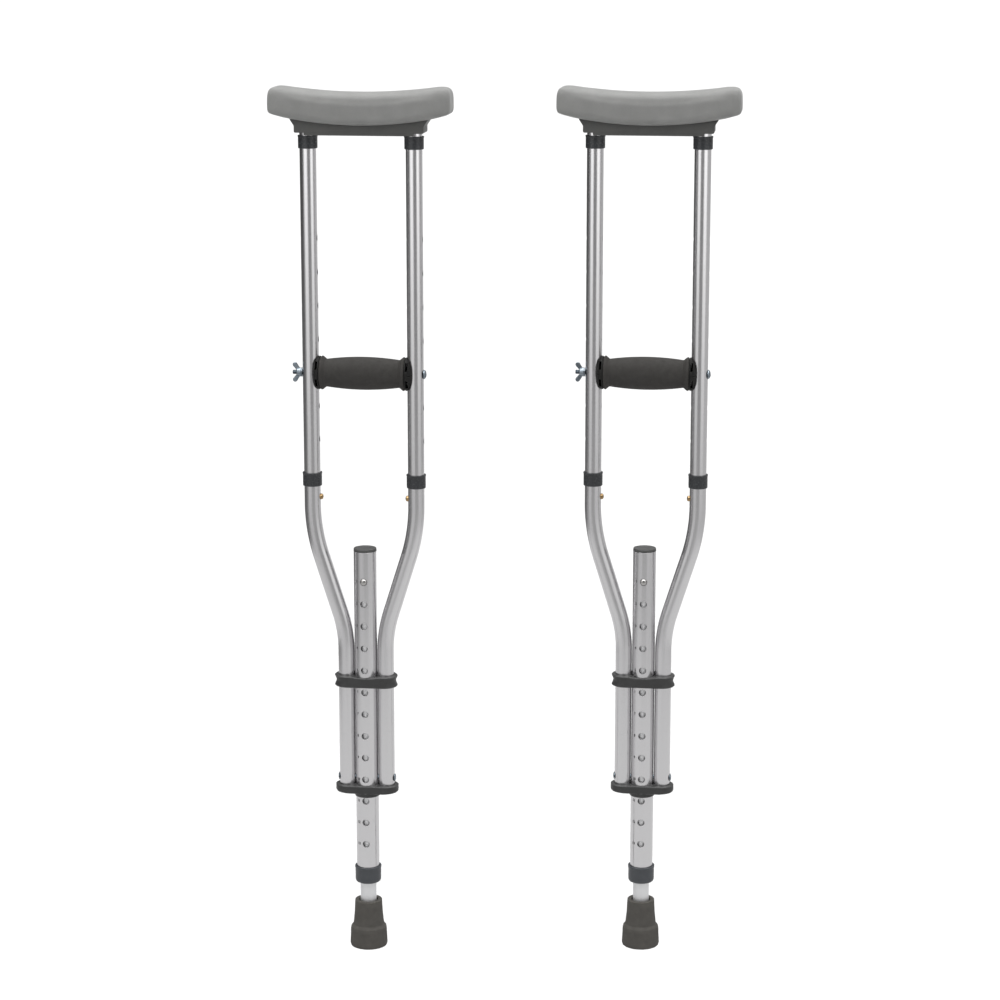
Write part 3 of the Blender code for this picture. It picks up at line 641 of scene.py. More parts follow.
def band(name, low, high, inset_at, height_at):
    """A closed round-ended bar: inset_at and height_at shape it by share of height and place across."""
    levels = [(share, 1) for share in evenly(0, 1, CLAMP_LEVELS)]
    rings = []
    for share, spread in [(0, 0), *levels, (1, 0)]:
        end_inset, side_inset = inset_at(share)
        columns = clamp_columns(high.x - end_inset, high.y - side_inset)
        columns = [(across, depth * spread) for across, depth in columns]
        front = [(across, -depth, height_at(share, across)) for across, depth in columns]
        back = [(across, depth, height_at(share, across)) for across, depth in reversed(columns)]
        rings.append(front + back[1:-1])
    return lofted(name, rings)


def quarter_round(depth, rounding):
    """How far an edge rounded by this much pulls in at a depth from its face."""
    flat = max(rounding - depth, 0)
    return rounding - math.sqrt(max(rounding**2 - flat**2, 0))


def edge_inset(share, tall):
    """How far a clamp's rounded edges pull in at this share of its height."""
    return quarter_round(min(share, 1 - share) * tall, CLAMP_ROUNDING)


def bored(clamp, centre_start, side_start):
    """Opens the centre tube's bore and the bows' bores upwards from the given heights."""
    up = (0, 0, 1)
    drilled(clamp, [(0, 0, centre_start)], up, CENTRE_RADIUS + GAP, CLAMP_DRILL, SIDES)
    starts = [(side * LOWER_SPREAD, 0, side_start) for _, side in SIDES_OF_FRAME]
    return drilled(clamp, starts, up, SIDE_RADIUS + GAP, CLAMP_DRILL, SIDES)


def make_upper_clamp():
    """A flat-fronted band whose ends have flared lips and a waist between them."""
    low, high = box_of("upper_clamp")
    tall = high.z - low.z

    def inset_at(share):
        edge = edge_inset(share, tall)
        return edge + CLAMP_WAIST * math.sin(math.pi * share) ** 2, edge

    def height_at(share, across):
        dip = CLAMP_DIP * math.exp(-((across / CENTRE_RADIUS) ** 4))
        return low.z + tall * share - dip * share**3

    clamp = band("upper_clamp", low, high, inset_at, height_at)
    return shade(bored(clamp, low.z - OVERLAP, low.z - OVERLAP))


def make_lower_clamp():
    """Closes the bows' lower ends; a tapered boss runs a little further down the centre tube."""
    low, high = box_of("lower_clamp")
    bottom = BOW_BOTTOM - CLAMP_FLOOR
    tall = high.z - bottom

    def inset_at(share):
        edge = edge_inset(share, tall)
        corner = max(CLAMP_CORNER - share * tall, 0)
        return edge + CLAMP_CORNER - math.sqrt(CLAMP_CORNER**2 - corner**2), edge

    def height_at(share, across):
        return bottom + tall * share

    clamp = band("lower_clamp", low, high, inset_at, height_at)
    drop, fillet = BOSS_SHOULDER
    corners = [
        (0, bottom + OVERLAP, 0),
        (BOSS_ROOT_RADIUS, bottom + OVERLAP, 0),
        (BOSS_ROOT_RADIUS, bottom, 0),
        (BOSS_RADIUS, bottom - drop, fillet),
        (BOSS_BOTTOM_RADIUS, low.z, FULL),
        (0, low.z, 0),
    ]
    combined(clamp, turned("boss", corners, closed=False), "UNION")
    return shade(bored(clamp, low.z - OVERLAP, BOW_BOTTOM - GAP))


# ---- Pad and base ----


def pad_bottom_at(across):
    return PAD_BOTTOM + PAD_BOTTOM_RISE * (across / BASE_SHOULDER) ** 2


def pad_top_at(across):
    return PAD_TOP + PAD_TOP_RISE * (across / (PAD_HALF_LENGTH - PAD_CORNER)) ** 2


def pad_outline(depth):
    """The saddle outline at a depth in from the pad's front or back face."""
    end = PAD_HALF_LENGTH - PAD_SWELL - quarter_round(depth, PAD_END_ROUNDING)
    top_inset = PAD_SWELL + quarter_round(depth, PAD_TOP_ROUNDING)
    bottom_inset = PAD_SWELL + quarter_round(depth, PAD_BOTTOM_ROUNDING)
    shares = evenly(-1, 1, PAD_STEPS)
    lower = end - PAD_CORNER_REACH * PAD_LOWER_CORNER
    upper = end - PAD_CORNER_REACH * PAD_CORNER
    bottom = [(share * lower, pad_bottom_at(share * lower) + bottom_inset, 0) for share in shares]
    top = [(-share * upper, pad_top_at(share * upper) - top_inset, 0) for share in shares]
    lower_corner = pad_bottom_at(end) + bottom_inset
    upper_corner = pad_top_at(end) - top_inset
    right = [(end, lower_corner, PAD_LOWER_CORNER), (end, upper_corner, PAD_CORNER)]
    left = [(-end, upper_corner, PAD_CORNER), (-end, lower_corner, PAD_LOWER_CORNER)]
    return filleted(bottom + right + top + left)


def swollen(obj, pressure, most):
    """Blows a closed skin up with cloth; no point moves further than most."""
    before = [vert.co.copy() for vert in obj.data.vertices]
    cloth = obj.modifiers.new("Swell", "CLOTH")
    cloth.settings.use_pressure = True
    cloth.settings.uniform_pressure_force = pressure
    cloth.settings.effector_weights.gravity = 0
    cloth.settings.mass = PAD_CLOTH_MASS
    scene = bpy.context.scene
    for step in range(1, SIM_FRAMES + 1):
        scene.frame_set(step)
    applied(obj)
    scene.frame_set(1)
    for vert, rest in zip(obj.data.vertices, before):
        move = vert.co - rest
        if move.length > most:
            vert.co = rest + move.normalized() * most
    return obj


def make_pad():
    """The saddle-shaped foam pad: swollen by cloth, flat only where it lies on its base."""
    face = PAD_HALF_DEPTH - PAD_SWELL
    angles = evenly(0, math.pi / 2, PAD_EDGE_STEPS)
    depths = [PAD_TOP_ROUNDING * (1 - math.cos(angle)) for angle in angles]
    front = [[(x, depth - face, z) for x, z in pad_outline(depth)] for depth in depths]
    back = [[(x, face - depth, z) for x, z in pad_outline(depth)] for depth in reversed(depths)]
    pad = lofted("underarm_pad", front + back)
    shape = bmesh.new()
    shape.from_mesh(pad.data)
    bmesh.ops.holes_fill(shape, edges=[edge for edge in shape.edges if edge.is_boundary], sides=0)
    bmesh.ops.recalc_face_normals(shape, faces=shape.faces)
    shape.to_mesh(pad.data)
    shape.free()
    reskinned(pad, PAD_VOXEL, passes=2)
    swollen(pad, pressure=4, most=PAD_SWELL)
    smoothed(pad, passes=2)
    finer = pad.modifiers.new("Finer", "SUBSURF")
    finer.levels = finer.render_levels = 2
    applied(pad)
    for vert in pad.data.vertices:
        settle(vert)
    length, depth = TONGUE_HALF_SIZE
    tongue_top = box_of("pad_base")[1].z
    low = (-length - GAP, -depth - GAP, PAD_BOTTOM - OVERLAP)
    combined(pad, block(low, (length + GAP, depth + GAP, tongue_top + GAP)), "DIFFERENCE")
    return shade(pad)


END_DISH = 0.0007
END_DISH_REACH = 0.004  # in from the end
END_DISH_RISE = 0.007  # how far it fades out up and down, and to the front and back
END_DISH_SPREAD = 0.012


def settle(vert):
    """Rests the pad's underside on the base, and dishes its end faces a little."""
    across, out, height = vert.co
    on_base = abs(across) < BASE_SHOULDER and abs(out) < BASE_HALF_DEPTH
    near_bottom = height < pad_bottom_at(across) + PAD_LOWER_CORNER / 2
    if on_base and near_bottom:
        vert.co.z = pad_bottom_at(across)
    middle = (pad_top_at(across) + pad_bottom_at(across)) / 2
    near_end = max(abs(across) - (PAD_HALF_LENGTH - END_DISH_REACH), 0) / END_DISH_REACH
    spread = math.exp(-(((height - middle) / END_DISH_RISE) ** 2) - (out / END_DISH_SPREAD) ** 2)
    vert.co.x -= math.copysign(END_DISH * near_end * spread, across)


def make_base():
    """The moulded bar under the pad: tongue above, a socket for each upper tube below."""
    low, high = box_of("pad_base")
    step_top = low.z + BASE_STEP
    half = [
        (BASE_STEP_START, low.z, ROUNDED),
        (BASE_STEP_START, step_top, ROUNDED),
        (BASE_HALF_LENGTH, step_top, BASE_CORNER),
        (BASE_HALF_LENGTH, step_top + 4 * BASE_CORNER, BASE_FLARE),
        (BASE_SHOULDER, pad_bottom_at(BASE_SHOULDER) - GAP, SOFT),
    ]
    across_top = evenly(BASE_SHOULDER, -BASE_SHOULDER, PAD_STEPS)[1:-1]
    top = [(x, pad_bottom_at(x) - GAP, 0) for x in across_top]
    mirrored = [(-across, height, fillet) for across, height, fillet in reversed(half)]
    base = slab("pad_base", filleted(half + top + mirrored), BASE_HALF_DEPTH, BASE_EDGE)
    length, depth = TONGUE_HALF_SIZE
    tongue = block((-length, -depth, PAD_BOTTOM - OVERLAP), (length, depth, high.z))
    combined(base, tongue, "UNION")
    starts = [(side * SIDE_SPREAD, 0, low.z - OVERLAP) for _, side in SIDES_OF_FRAME]
    socket = box_of("upper_tube_b")[1].z + GAP - low.z + OVERLAP
    return shade(drilled(base, starts, (0, 0, 1), SIDE_RADIUS + GAP, socket, SIDES))


# ---- Rubber ----


TIP_FLOOR = 0.0021  # below the leg's end
TIP_BORE_DEPTH = 0.0120  # down to where the bore stops widening
# (radius, below the rim, fillet) over the rim, then (radius, height, fillet) down the flared foot
TIP_RIM = [(0.0107, 0.0040, 0.0010), (0.0107, 0, SOFT), (0.0153, 0, 0.0009), (0.0160, 0.0150, 0.0040)]
TIP_FLARE = [(0.0174, 0.0258, 0.0015), (0.0199, 0.0226, 0.0010), (0.0205, 0.0190, 0.0030)]
TIP_FOOT = [(0.0206, 0.0145, 0.0040), (box_of("rubber_tip")[1].x, 0.0030, 0.0030)]
SOLE_CORNER = (0.0008, 0.0012)  # inset and fillet
SOLE_GROOVES = evenly(0.0175, 0.0055, 3)  # radii of the rings
GROOVE = [(0.0008, 0), (0.0005, 0.0008), (-0.0005, 0.0008), (-0.0008, 0)]  # (across, up)


def make_tip():
    """The rubber foot: a socket for the leg above a flared sole with rings moulded under it."""
    low, high = box_of("rubber_tip")
    bore = LEG_RADIUS + GAP
    floor = box_of("leg_tube")[0].z - TIP_FLOOR
    inset, fillet = SOLE_CORNER
    corners = [(0, floor, 0), (bore, floor, 0), (bore, high.z - TIP_BORE_DEPTH, 0)]
    corners += [(radius, high.z - down, fillet) for radius, down, fillet in TIP_RIM]
    corners += [*TIP_FLARE, *TIP_FOOT, (high.x - inset, low.z, fillet)]
    for groove in SOLE_GROOVES:
        corners += [(groove + across, low.z + up, CRISP) for across, up in GROOVE]
    return shade(turned("rubber_tip", corners + [(0, low.z, 0)], closed=False))


# Rows for inwards, from the flange's radius and the grip's end
GRIP_FLANGE = [(0.0012, 0, ROUNDED), (0, 0.0018, FULL), (0.0004, 0.0028, FULL)]
GRIP_NECK = (0.0152, 0.0065, 0.0016)  # radius, in from the end, fillet
GRIP_BELLY = 0.0029
GRIP_BORE = 0.0113
GRIP_STEPS = 10


def make_sleeve():
    """The soft grip: a barrel with a flange at each end."""
    end = box_of("grip_sleeve")[1].x
    flange = box_of("grip_sleeve")[1].z - GRIP_HEIGHT
    neck, neck_inset, neck_fillet = GRIP_NECK
    body = end - neck_inset
    half = inwards(GRIP_FLANGE, flange, end)
    half.append((neck, body, neck_fillet))
    for along in evenly(body, 0, GRIP_STEPS)[1:]:
        half.append((neck + GRIP_BELLY * (1 - (along / body) ** 2), along, 0))
    other_half = [(radius, -along, fillet) for radius, along, fillet in reversed(half[:-1])]
    corners = half + other_half + [(GRIP_BORE, -end, SOFT), (GRIP_BORE, end, SOFT)]
    return on_grip_axis(turned("grip_sleeve", corners, axis="X"))


SADDLE_RIM = 0.0015
SADDLE_BORE = SIDE_RADIUS + 0.0004
SADDLE_LIP = 0.0006  # the tube side's thin edge, in from the bore
SADDLE_STEPS = 8
SADDLE_SPLIT = (0.0040, 0.0004)  # depth and half width
SADDLE_WINDOW_DEPTHS = (0.0012, 0.0040)


def make_saddle(name, side):
    """The cup between the grip and a side tube: domed, and hollowed to fit round the tube."""
    low, high = box_of("grip_saddle_b")
    start, reach = low.x, high.x
    radius = high.z - GRIP_HEIGHT
    rim = start + SADDLE_RIM
    corners = [(0, reach, 0), (SADDLE_BORE - SADDLE_LIP, reach, SOFT)]
    for fall in evenly(0, 1, SADDLE_STEPS)[1:]:
        out = SADDLE_BORE + (radius - SADDLE_BORE) * math.sin(fall * math.pi / 2)
        corners.append((out, reach - (reach - rim) * fall, 0))
    corners += [(radius, start + ROUNDED, SOFT), (radius - SOFT, start, EASED), (0, start, 0)]
    saddle = turned(name, corners, axis="X", closed=False)
    drilled(saddle, [(SIDE_SPREAD, 0, -2 * radius)], (0, 0, 1), SADDLE_BORE, 4 * radius, SIDES)
    drilled(saddle, [(start - OVERLAP, 0, 0)], (1, 0, 0), BOLT_HOLE, 3 * OVERLAP)
    depth, half_width = SADDLE_SPLIT
    split_low = (reach - depth, -2 * radius, -half_width)
    combined(saddle, block(split_low, (reach + OVERLAP, 2 * radius, half_width)), "DIFFERENCE")
    nearest, furthest = SADDLE_WINDOW
    shallow, deep = SADDLE_WINDOW_DEPTHS
    for up in (-1, 1):
        lowest, highest = sorted((up * nearest, up * furthest))
        window_low = (start + shallow, -2 * radius, lowest)
        window = block(window_low, (start + deep, 2 * radius, highest))
        combined(saddle, window, "DIFFERENCE")
    return on_grip_axis(saddle, side)


# ---- Steel and brass ----


def make_snap_button(name, size, place, turn):
    """A domed button riveted on a V spring; it points along +X before it is turned."""
    radius, tip, front, back, drop = size
    half_width = radius * CLIP_HALF_WIDTH
    bend_centre = ((front + back) / 2, -drop * CLIP_BEND_DROP)
    bend = arc(bend_centre, (front - back - CLIP_THICKNESS) / 2, 0, -180, CLIP_STEPS)
    path = [(front - CLIP_THICKNESS / 2, CLIP_RISE), *bend, (back + CLIP_THICKNESS / 2, CLIP_RISE)]
    shape = bmesh.new()
    rows = [[shape.verts.new((x, y, z)) for y in (-half_width, half_width)] for x, z in path]
    for one, other in zip(rows, rows[1:]):
        shape.faces.new((one[0], one[1], other[1], other[0]))
    strip = mesh_from(name, shape)
    wall = strip.modifiers.new("Strip", "SOLIDIFY")
    wall.thickness = CLIP_THICKNESS
    wall.offset = 0
    applied(strip)
    root = front - 1.5 * CLIP_THICKNESS
    rise = BUTTON_DOME * radius
    corners = [*dome(radius, tip - rise, rise), (radius, root, 0), (0, root, 0)]
    combined(strip, turned("pin", corners, SMALL_SIDES, "X", closed=False), "UNION")
    return shade(moved(strip, place, turn))


def make_side_button(name, side):
    place = (side * SIDE_SPREAD, 0, SIDE_BUTTON_HEIGHT)
    return make_snap_button(name, SIDE_BUTTON, place, math.pi if side > 0 else 0)


def make_leg_button():
    return make_snap_button("leg_snap_button", LEG_BUTTON, (0, 0, TOP_LEG_HOLE), -math.pi / 2)


def make_rivet(name, side):
    """Holds a bow to the centre tube: domed head outside, flat tail in the centre tube's bore."""
    head = LOWER_SPREAD + SIDE_RADIUS + GAP
    head_radius, head_height = RIVET_HEAD
    tail_radius, tail_thickness = RIVET_TAIL
    tail_end = RIVET_TAIL_FACE - tail_thickness
    shank = [(RIVET_RADIUS, head, 0), (RIVET_RADIUS, RIVET_TAIL_FACE, 0)]
    tail = [(tail_radius, RIVET_TAIL_FACE, 0), (tail_radius, tail_end, 0), (0, tail_end, 0)]
    corners = dome(head_radius, head, head_height) + shank + tail
    rivet = turned(name, corners, SMALL_SIDES, "X", closed=False)
    return shade(moved(rivet, (0, 0, RIVET_HEIGHT), math.pi if side < 0 else 0))


THREAD_PITCH = 0.0008
THREAD_DEPTH = 0.0004
THREAD_START = -0.0560
THREAD_STEP = 0.0001
BOLT_HEAD = (0.0051, 0.0028)
BOLT_POINT = (0.0005, 0.0007)  # length and depth of the chamfer at its end
SLOT_SIZE = (0.0012, 0.0070, 0.0006)  # depth, half length and half width
SLOT_TURN = math.radians(35)


def thread_ring(along, radius):
    """A ring of the screw thread, its groove turning once in each pitch."""
    points = []
    for i in range(SMALL_SIDES):
        turn = i / SMALL_SIDES
        phase = (along / THREAD_PITCH + turn) % 1
        grooved = radius - THREAD_DEPTH * abs(2 * phase - 1)
        angle = turn * 2 * math.pi
        points.append((along, grooved * math.cos(angle), grooved * math.sin(angle)))
    return points


def make_bolt():
    """One long bolt through the side tubes and the grip: slotted dome on the right, thread on the left."""
    low, high = box_of("grip_bolt")
    head_radius, head_height = BOLT_HEAD
    point, chamfer = BOLT_POINT
    seat = high.x - head_height
    sections = [(radius, along) for radius, along, _ in dome(head_radius, seat, head_height, steps=12)]
    sections += [(BOLT_RADIUS, seat), (BOLT_RADIUS, THREAD_START + THREAD_PITCH)]
    rings = [circle(radius, along, SMALL_SIDES, "X") for radius, along in sections]
    steps = round((THREAD_START - low.x - point) / THREAD_STEP)
    rings += [thread_ring(along, BOLT_RADIUS) for along in evenly(THREAD_START, low.x + point, steps)]
    rings += [circle(radius, low.x, SMALL_SIDES, "X") for radius in (BOLT_RADIUS - chamfer, 0)]
    bolt = lofted("grip_bolt", rings)
    depth, length, width = SLOT_SIZE
    slot = block((high.x - depth, -length, -width), (high.x + OVERLAP, length, width))
    slot.data.transform(Matrix.Rotation(SLOT_TURN, 4, "X"))
    return on_grip_axis(combined(bolt, slot, "DIFFERENCE"))


def make_nut_washer():
    low, high = box_of("nut_washer")
    corners = tube_corners(high.z - GRIP_HEIGHT, BOLT_HOLE, high.x, low.x, CRISP)
    return on_grip_axis(turned("nut_washer", corners, SMALL_SIDES, "X"))


WING_ROOT = Vector((0.0030, 0.0026))
WING_TIP = Vector((0.0072, 0.0083))
WING_ENDS = ((0.0026, 16), (0.0020, 10))  # radius and steps at its tip and its root
WING_HALF_THICKNESS = 0.0012
WING_EDGE = 0.0005
HUB = (0.0050, 0.0040)  # radius at its face and its end
HUB_LENGTHS = (0.0010, 0.0052)  # of its straight part and in all
NUT_DRILL = 0.0140
NUT_VOXEL = 0.00028


def make_wing(side):
    """A petal in the nut's own plane, narrow at the hub and broad at its tip."""
    root = Vector((WING_ROOT.x, side * WING_ROOT.y))
    tip = Vector((WING_TIP.x, side * WING_TIP.y))
    lean = math.degrees(math.atan2(tip.y - root.y, tip.x - root.x))
    (broad, tip_steps), (narrow, root_steps) = WING_ENDS
    outline = arc(tip, broad, lean - 90, lean + 90, tip_steps)
    outline += arc(root, narrow, lean + 90, lean + 270, root_steps)
    return slab("wing", [(-along, across) for along, across in outline], WING_HALF_THICKNESS, WING_EDGE)


def make_wing_nut():
    """Hub and two wings, forged in one, on the bolt's left end."""
    low, high = box_of("wing_nut")
    face, end = HUB
    straight, length = HUB_LENGTHS
    corners = [(0, 0, 0), (face, 0, CRISP), (face, -straight, SOFT), (end, -length, WING_EDGE)]
    nut = turned("wing_nut", corners + [(0, -length, 0)], axis="X", closed=False)
    for _, side in SIDES_OF_FRAME:
        combined(nut, make_wing(side), "UNION")
    reskinned(nut, NUT_VOXEL, passes=4)
    drilled(nut, [(OVERLAP, 0, 0)], (-1, 0, 0), BOLT_HOLE, NUT_DRILL)
    return shade(moved(nut, (high.x, 0, GRIP_HEIGHT)))


# ---- Materials ----

WEAR_SPAN = {"start": 0.515, "end": 0.60}  # of pointiness, from unworn to fully worn
WORN_PALER = 1.5
WORN_LIFT = 0.005  # added as well where plastic is worn
SHINE_SPAN = (0.85, 1.15)  # how far plastic's roughness strays from its mean
SCUFF_DARKENING = 0.88
SCUFF_SPAN = {"start": 0.62, "end": 0.75}  # of noise, from unmarked to scuffed
POLISH_DEPTH = 0.000004


def connect(look, start, end):
    look.node_tree.links.new(start, end)


def add_node(look, kind, **settings):
    node = look.node_tree.nodes.new(kind)
    for name, value in settings.items():
        setattr(node, name, value)
    return node


def shader_of(look):
    return look.node_tree.nodes["Principled BSDF"]


def new_look(name, **sockets):
    look = bpy.data.materials.new(name)
    look.use_nodes = True
    for socket, value in sockets.items():
        shader_of(look).inputs[socket.replace("_", " ")].default_value = value
    return look


def grain(look, scale, detail=4, stretch=(1, 1, 1)):
    """Noise in the piece's own coordinates, with about scale grains in each metre."""
    place = add_node(look, "ShaderNodeTexCoord")
    mapping = add_node(look, "ShaderNodeMapping")
    mapping.inputs["Scale"].default_value = stretch
    noise = add_node(look, "ShaderNodeTexNoise")
    noise.inputs["Scale"].default_value = scale
    noise.inputs["Detail"].default_value = detail
    connect(look, place.outputs["Object"], mapping.inputs["Vector"])
    connect(look, mapping.outputs["Vector"], noise.inputs["Vector"])
    return noise.outputs["Fac"]


def ranged(look, value, low, high, start=0.3, end=0.7):
    """Spreads a value from start to end over low to high."""
    spread = add_node(look, "ShaderNodeMapRange")
    settings = {"From Min": start, "From Max": end, "To Min": low, "To Max": high}
    for name, number in settings.items():
        spread.inputs[name].default_value = number
    connect(look, value, spread.inputs["Value"])
    return spread.outputs["Result"]


def edge_wear(look):
    """From 0 on flat stretches to 1 on worn outer edges."""
    shape = add_node(look, "ShaderNodeNewGeometry")
    return ranged(look, shape.outputs["Pointiness"], 0, 1, **WEAR_SPAN)


def mixed(look, share, one, other):
    """Blends two colours, each a colour or another mix's output."""
    mix = add_node(look, "ShaderNodeMix", data_type="RGBA")
    connect(look, share, mix.inputs["Factor"])
    for name, colour in (("A", one), ("B", other)):
        socket = next(s for s in mix.inputs if s.name == name and s.type == "RGBA")
        if isinstance(colour, tuple):
            socket.default_value = (*colour, 1)
        else:
            connect(look, colour, socket)
    return next(s for s in mix.outputs if s.type == "RGBA")


def raised(look, heights):
    """Bumps from (height output, depth in metres) pairs, laid over each other."""
    normal = None
    for height, depth in heights:
        bump = add_node(look, "ShaderNodeBump")
        bump.inputs["Distance"].default_value = depth
        bump.inputs["Strength"].default_value = 1.0
        connect(look, height, bump.inputs["Height"])
        if normal is not None:
            connect(look, normal, bump.inputs["Normal"])
        normal = bump.outputs["Normal"]
    connect(look, normal, shader_of(look).inputs["Normal"])


def paint(look, colour, roughness):
    connect(look, colour, shader_of(look).inputs["Base Color"])
    connect(look, roughness, shader_of(look).inputs["Roughness"])


def skin(name, dark, light, mottle, patches, bumps=(), worn=None, **sockets):
    """A look mottled between two colours, with uneven gloss, rubbed edges and layered bumps.

    mottle is (scale, detail), patches (scale, smoothest, roughest), a bump (scale, detail, depth).
    """
    look = new_look(name, **sockets)
    colour = mixed(look, ranged(look, grain(look, *mottle), 0, 1), dark, light)
    if worn:
        colour = mixed(look, edge_wear(look), colour, worn)
    size, smoothest, roughest = patches
    paint(look, colour, ranged(look, grain(look, size), smoothest, roughest))
    if bumps:
        raised(look, [(grain(look, scale, detail), depth) for scale, detail, depth in bumps])
    return look


def foam_look():
    """Closed-cell foam skin: fine cells, soft mottling, edges rubbed a little lighter."""
    dark, light, worn = (0.160, 0.161, 0.156), (0.183, 0.184, 0.178), (0.21, 0.21, 0.205)
    cells = [(45, 4, 0.0004), (2200, 6, 0.00006)]
    sheen = {"Sheen_Weight": 0.15, "Sheen_Roughness": 0.5}
    return skin("foam_skin", dark, light, (60, 4), (900, 0.62, 0.82), cells, worn, **sheen)


def moulded_look(name, dark, light, shine, texture=0.00003, ripple=0.00006, gloss=0.35):
    """Moulded plastic: spark-eroded grain, uneven gloss and paler rubbed edges."""
    worn = tuple(channel * WORN_PALER + WORN_LIFT for channel in light)
    bumps = [(120, 4, ripple), (2600, 3, texture)]
    patches = (400, *(shine * share for share in SHINE_SPAN))
    return skin(name, dark, light, (90, 4), patches, bumps, worn, Specular_IOR_Level=gloss)


def rubber_look(name, dark, light):
    """Matt rubber: dusty mottling and a fine skin."""
    worn = tuple(channel * WORN_PALER for channel in light)
    bumps = [(150, 4, 0.00010), (3000, 5, 0.00003)]
    return skin(name, dark, light, (130, 8), (700, 0.68, 0.88), bumps, worn, Specular_IOR_Level=0.15)


def zinc_look():
    """Bright zinc plate with a blue passivated cast."""
    dark, light, grit = (0.19, 0.225, 0.26), (0.30, 0.335, 0.365), [(1400, 4, 0.00002)]
    return skin("zinc_plate", dark, light, (350, 4), (900, 0.18, 0.34), grit, Metallic=1.0)


def brass_look():
    """Brass, tarnished brown in patches."""
    dark, light, grit = (0.20, 0.13, 0.07), (0.55, 0.38, 0.19), [(1800, 4, 0.00001)]
    return skin("brass", dark, light, (700, 4), (1500, 0.20, 0.38), grit, Metallic=1.0)


def ink_look():
    dark, light = (0.012, 0.012, 0.013), (0.035, 0.035, 0.036)
    return skin("printed_ink", dark, light, (1600, 4), (900, 0.45, 0.60))


def anodised_look(name, dark, light, smoothest, roughest):
    """Drawn tube under clear anodising: long fine lines, and small scuffs across them."""
    look = new_look(name, Metallic=1.0)
    lines = grain(look, 2600, detail=5, stretch=(1, 1, 0.006))
    scuffs = grain(look, 500, detail=9, stretch=(0.35, 0.35, 1))
    colour = mixed(look, ranged(look, lines, 0, 1), dark, light)
    worn = tuple(channel * SCUFF_DARKENING for channel in dark)
    scuffed = ranged(look, scuffs, 0, 0.5, **SCUFF_SPAN)
    paint(look, mixed(look, scuffed, colour, worn), ranged(look, lines, smoothest, roughest))
    raised(look, [(lines, POLISH_DEPTH), (scuffs, POLISH_DEPTH)])
    return look


def button_look():
    """Nickel-plated and polished, with hairline scratches."""
    look = new_look("polished_button", Metallic=1.0)
    fine = grain(look, 2500, stretch=(1, 0.1, 1))
    colour = mixed(look, ranged(look, fine, 0, 1), (0.42, 0.41, 0.40), (0.52, 0.51, 0.50))
    paint(look, colour, ranged(look, fine, 0.06, 0.16))
    raised(look, [(fine, POLISH_DEPTH)])
    return look


# ---- Placing ----


def wear(obj, look):
    """Gives an object this material and no other."""
    obj.data.materials.clear()
    obj.data.materials.append(look)


def copied(piece, crutch, node, look):
    """A copy of a piece on a crutch's own axis."""
    copy = piece.copy()
    copy.name = f"{crutch}.{node}"
    bpy.context.scene.collection.objects.link(copy)
    copy.location = AXES[crutch]
    wear(copy, look)
    return copy


def place_on(crutch, piece, node, look, slot):
    """Puts a copy of a piece on a crutch, where it stands for a CAD node."""
    cad_name = f"{crutch}_{node}"
    copy = copied(piece, crutch, node, look)
    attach(copy, frame["nodes"][cad_name]["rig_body"])
    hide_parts(cad_name)
    return copy


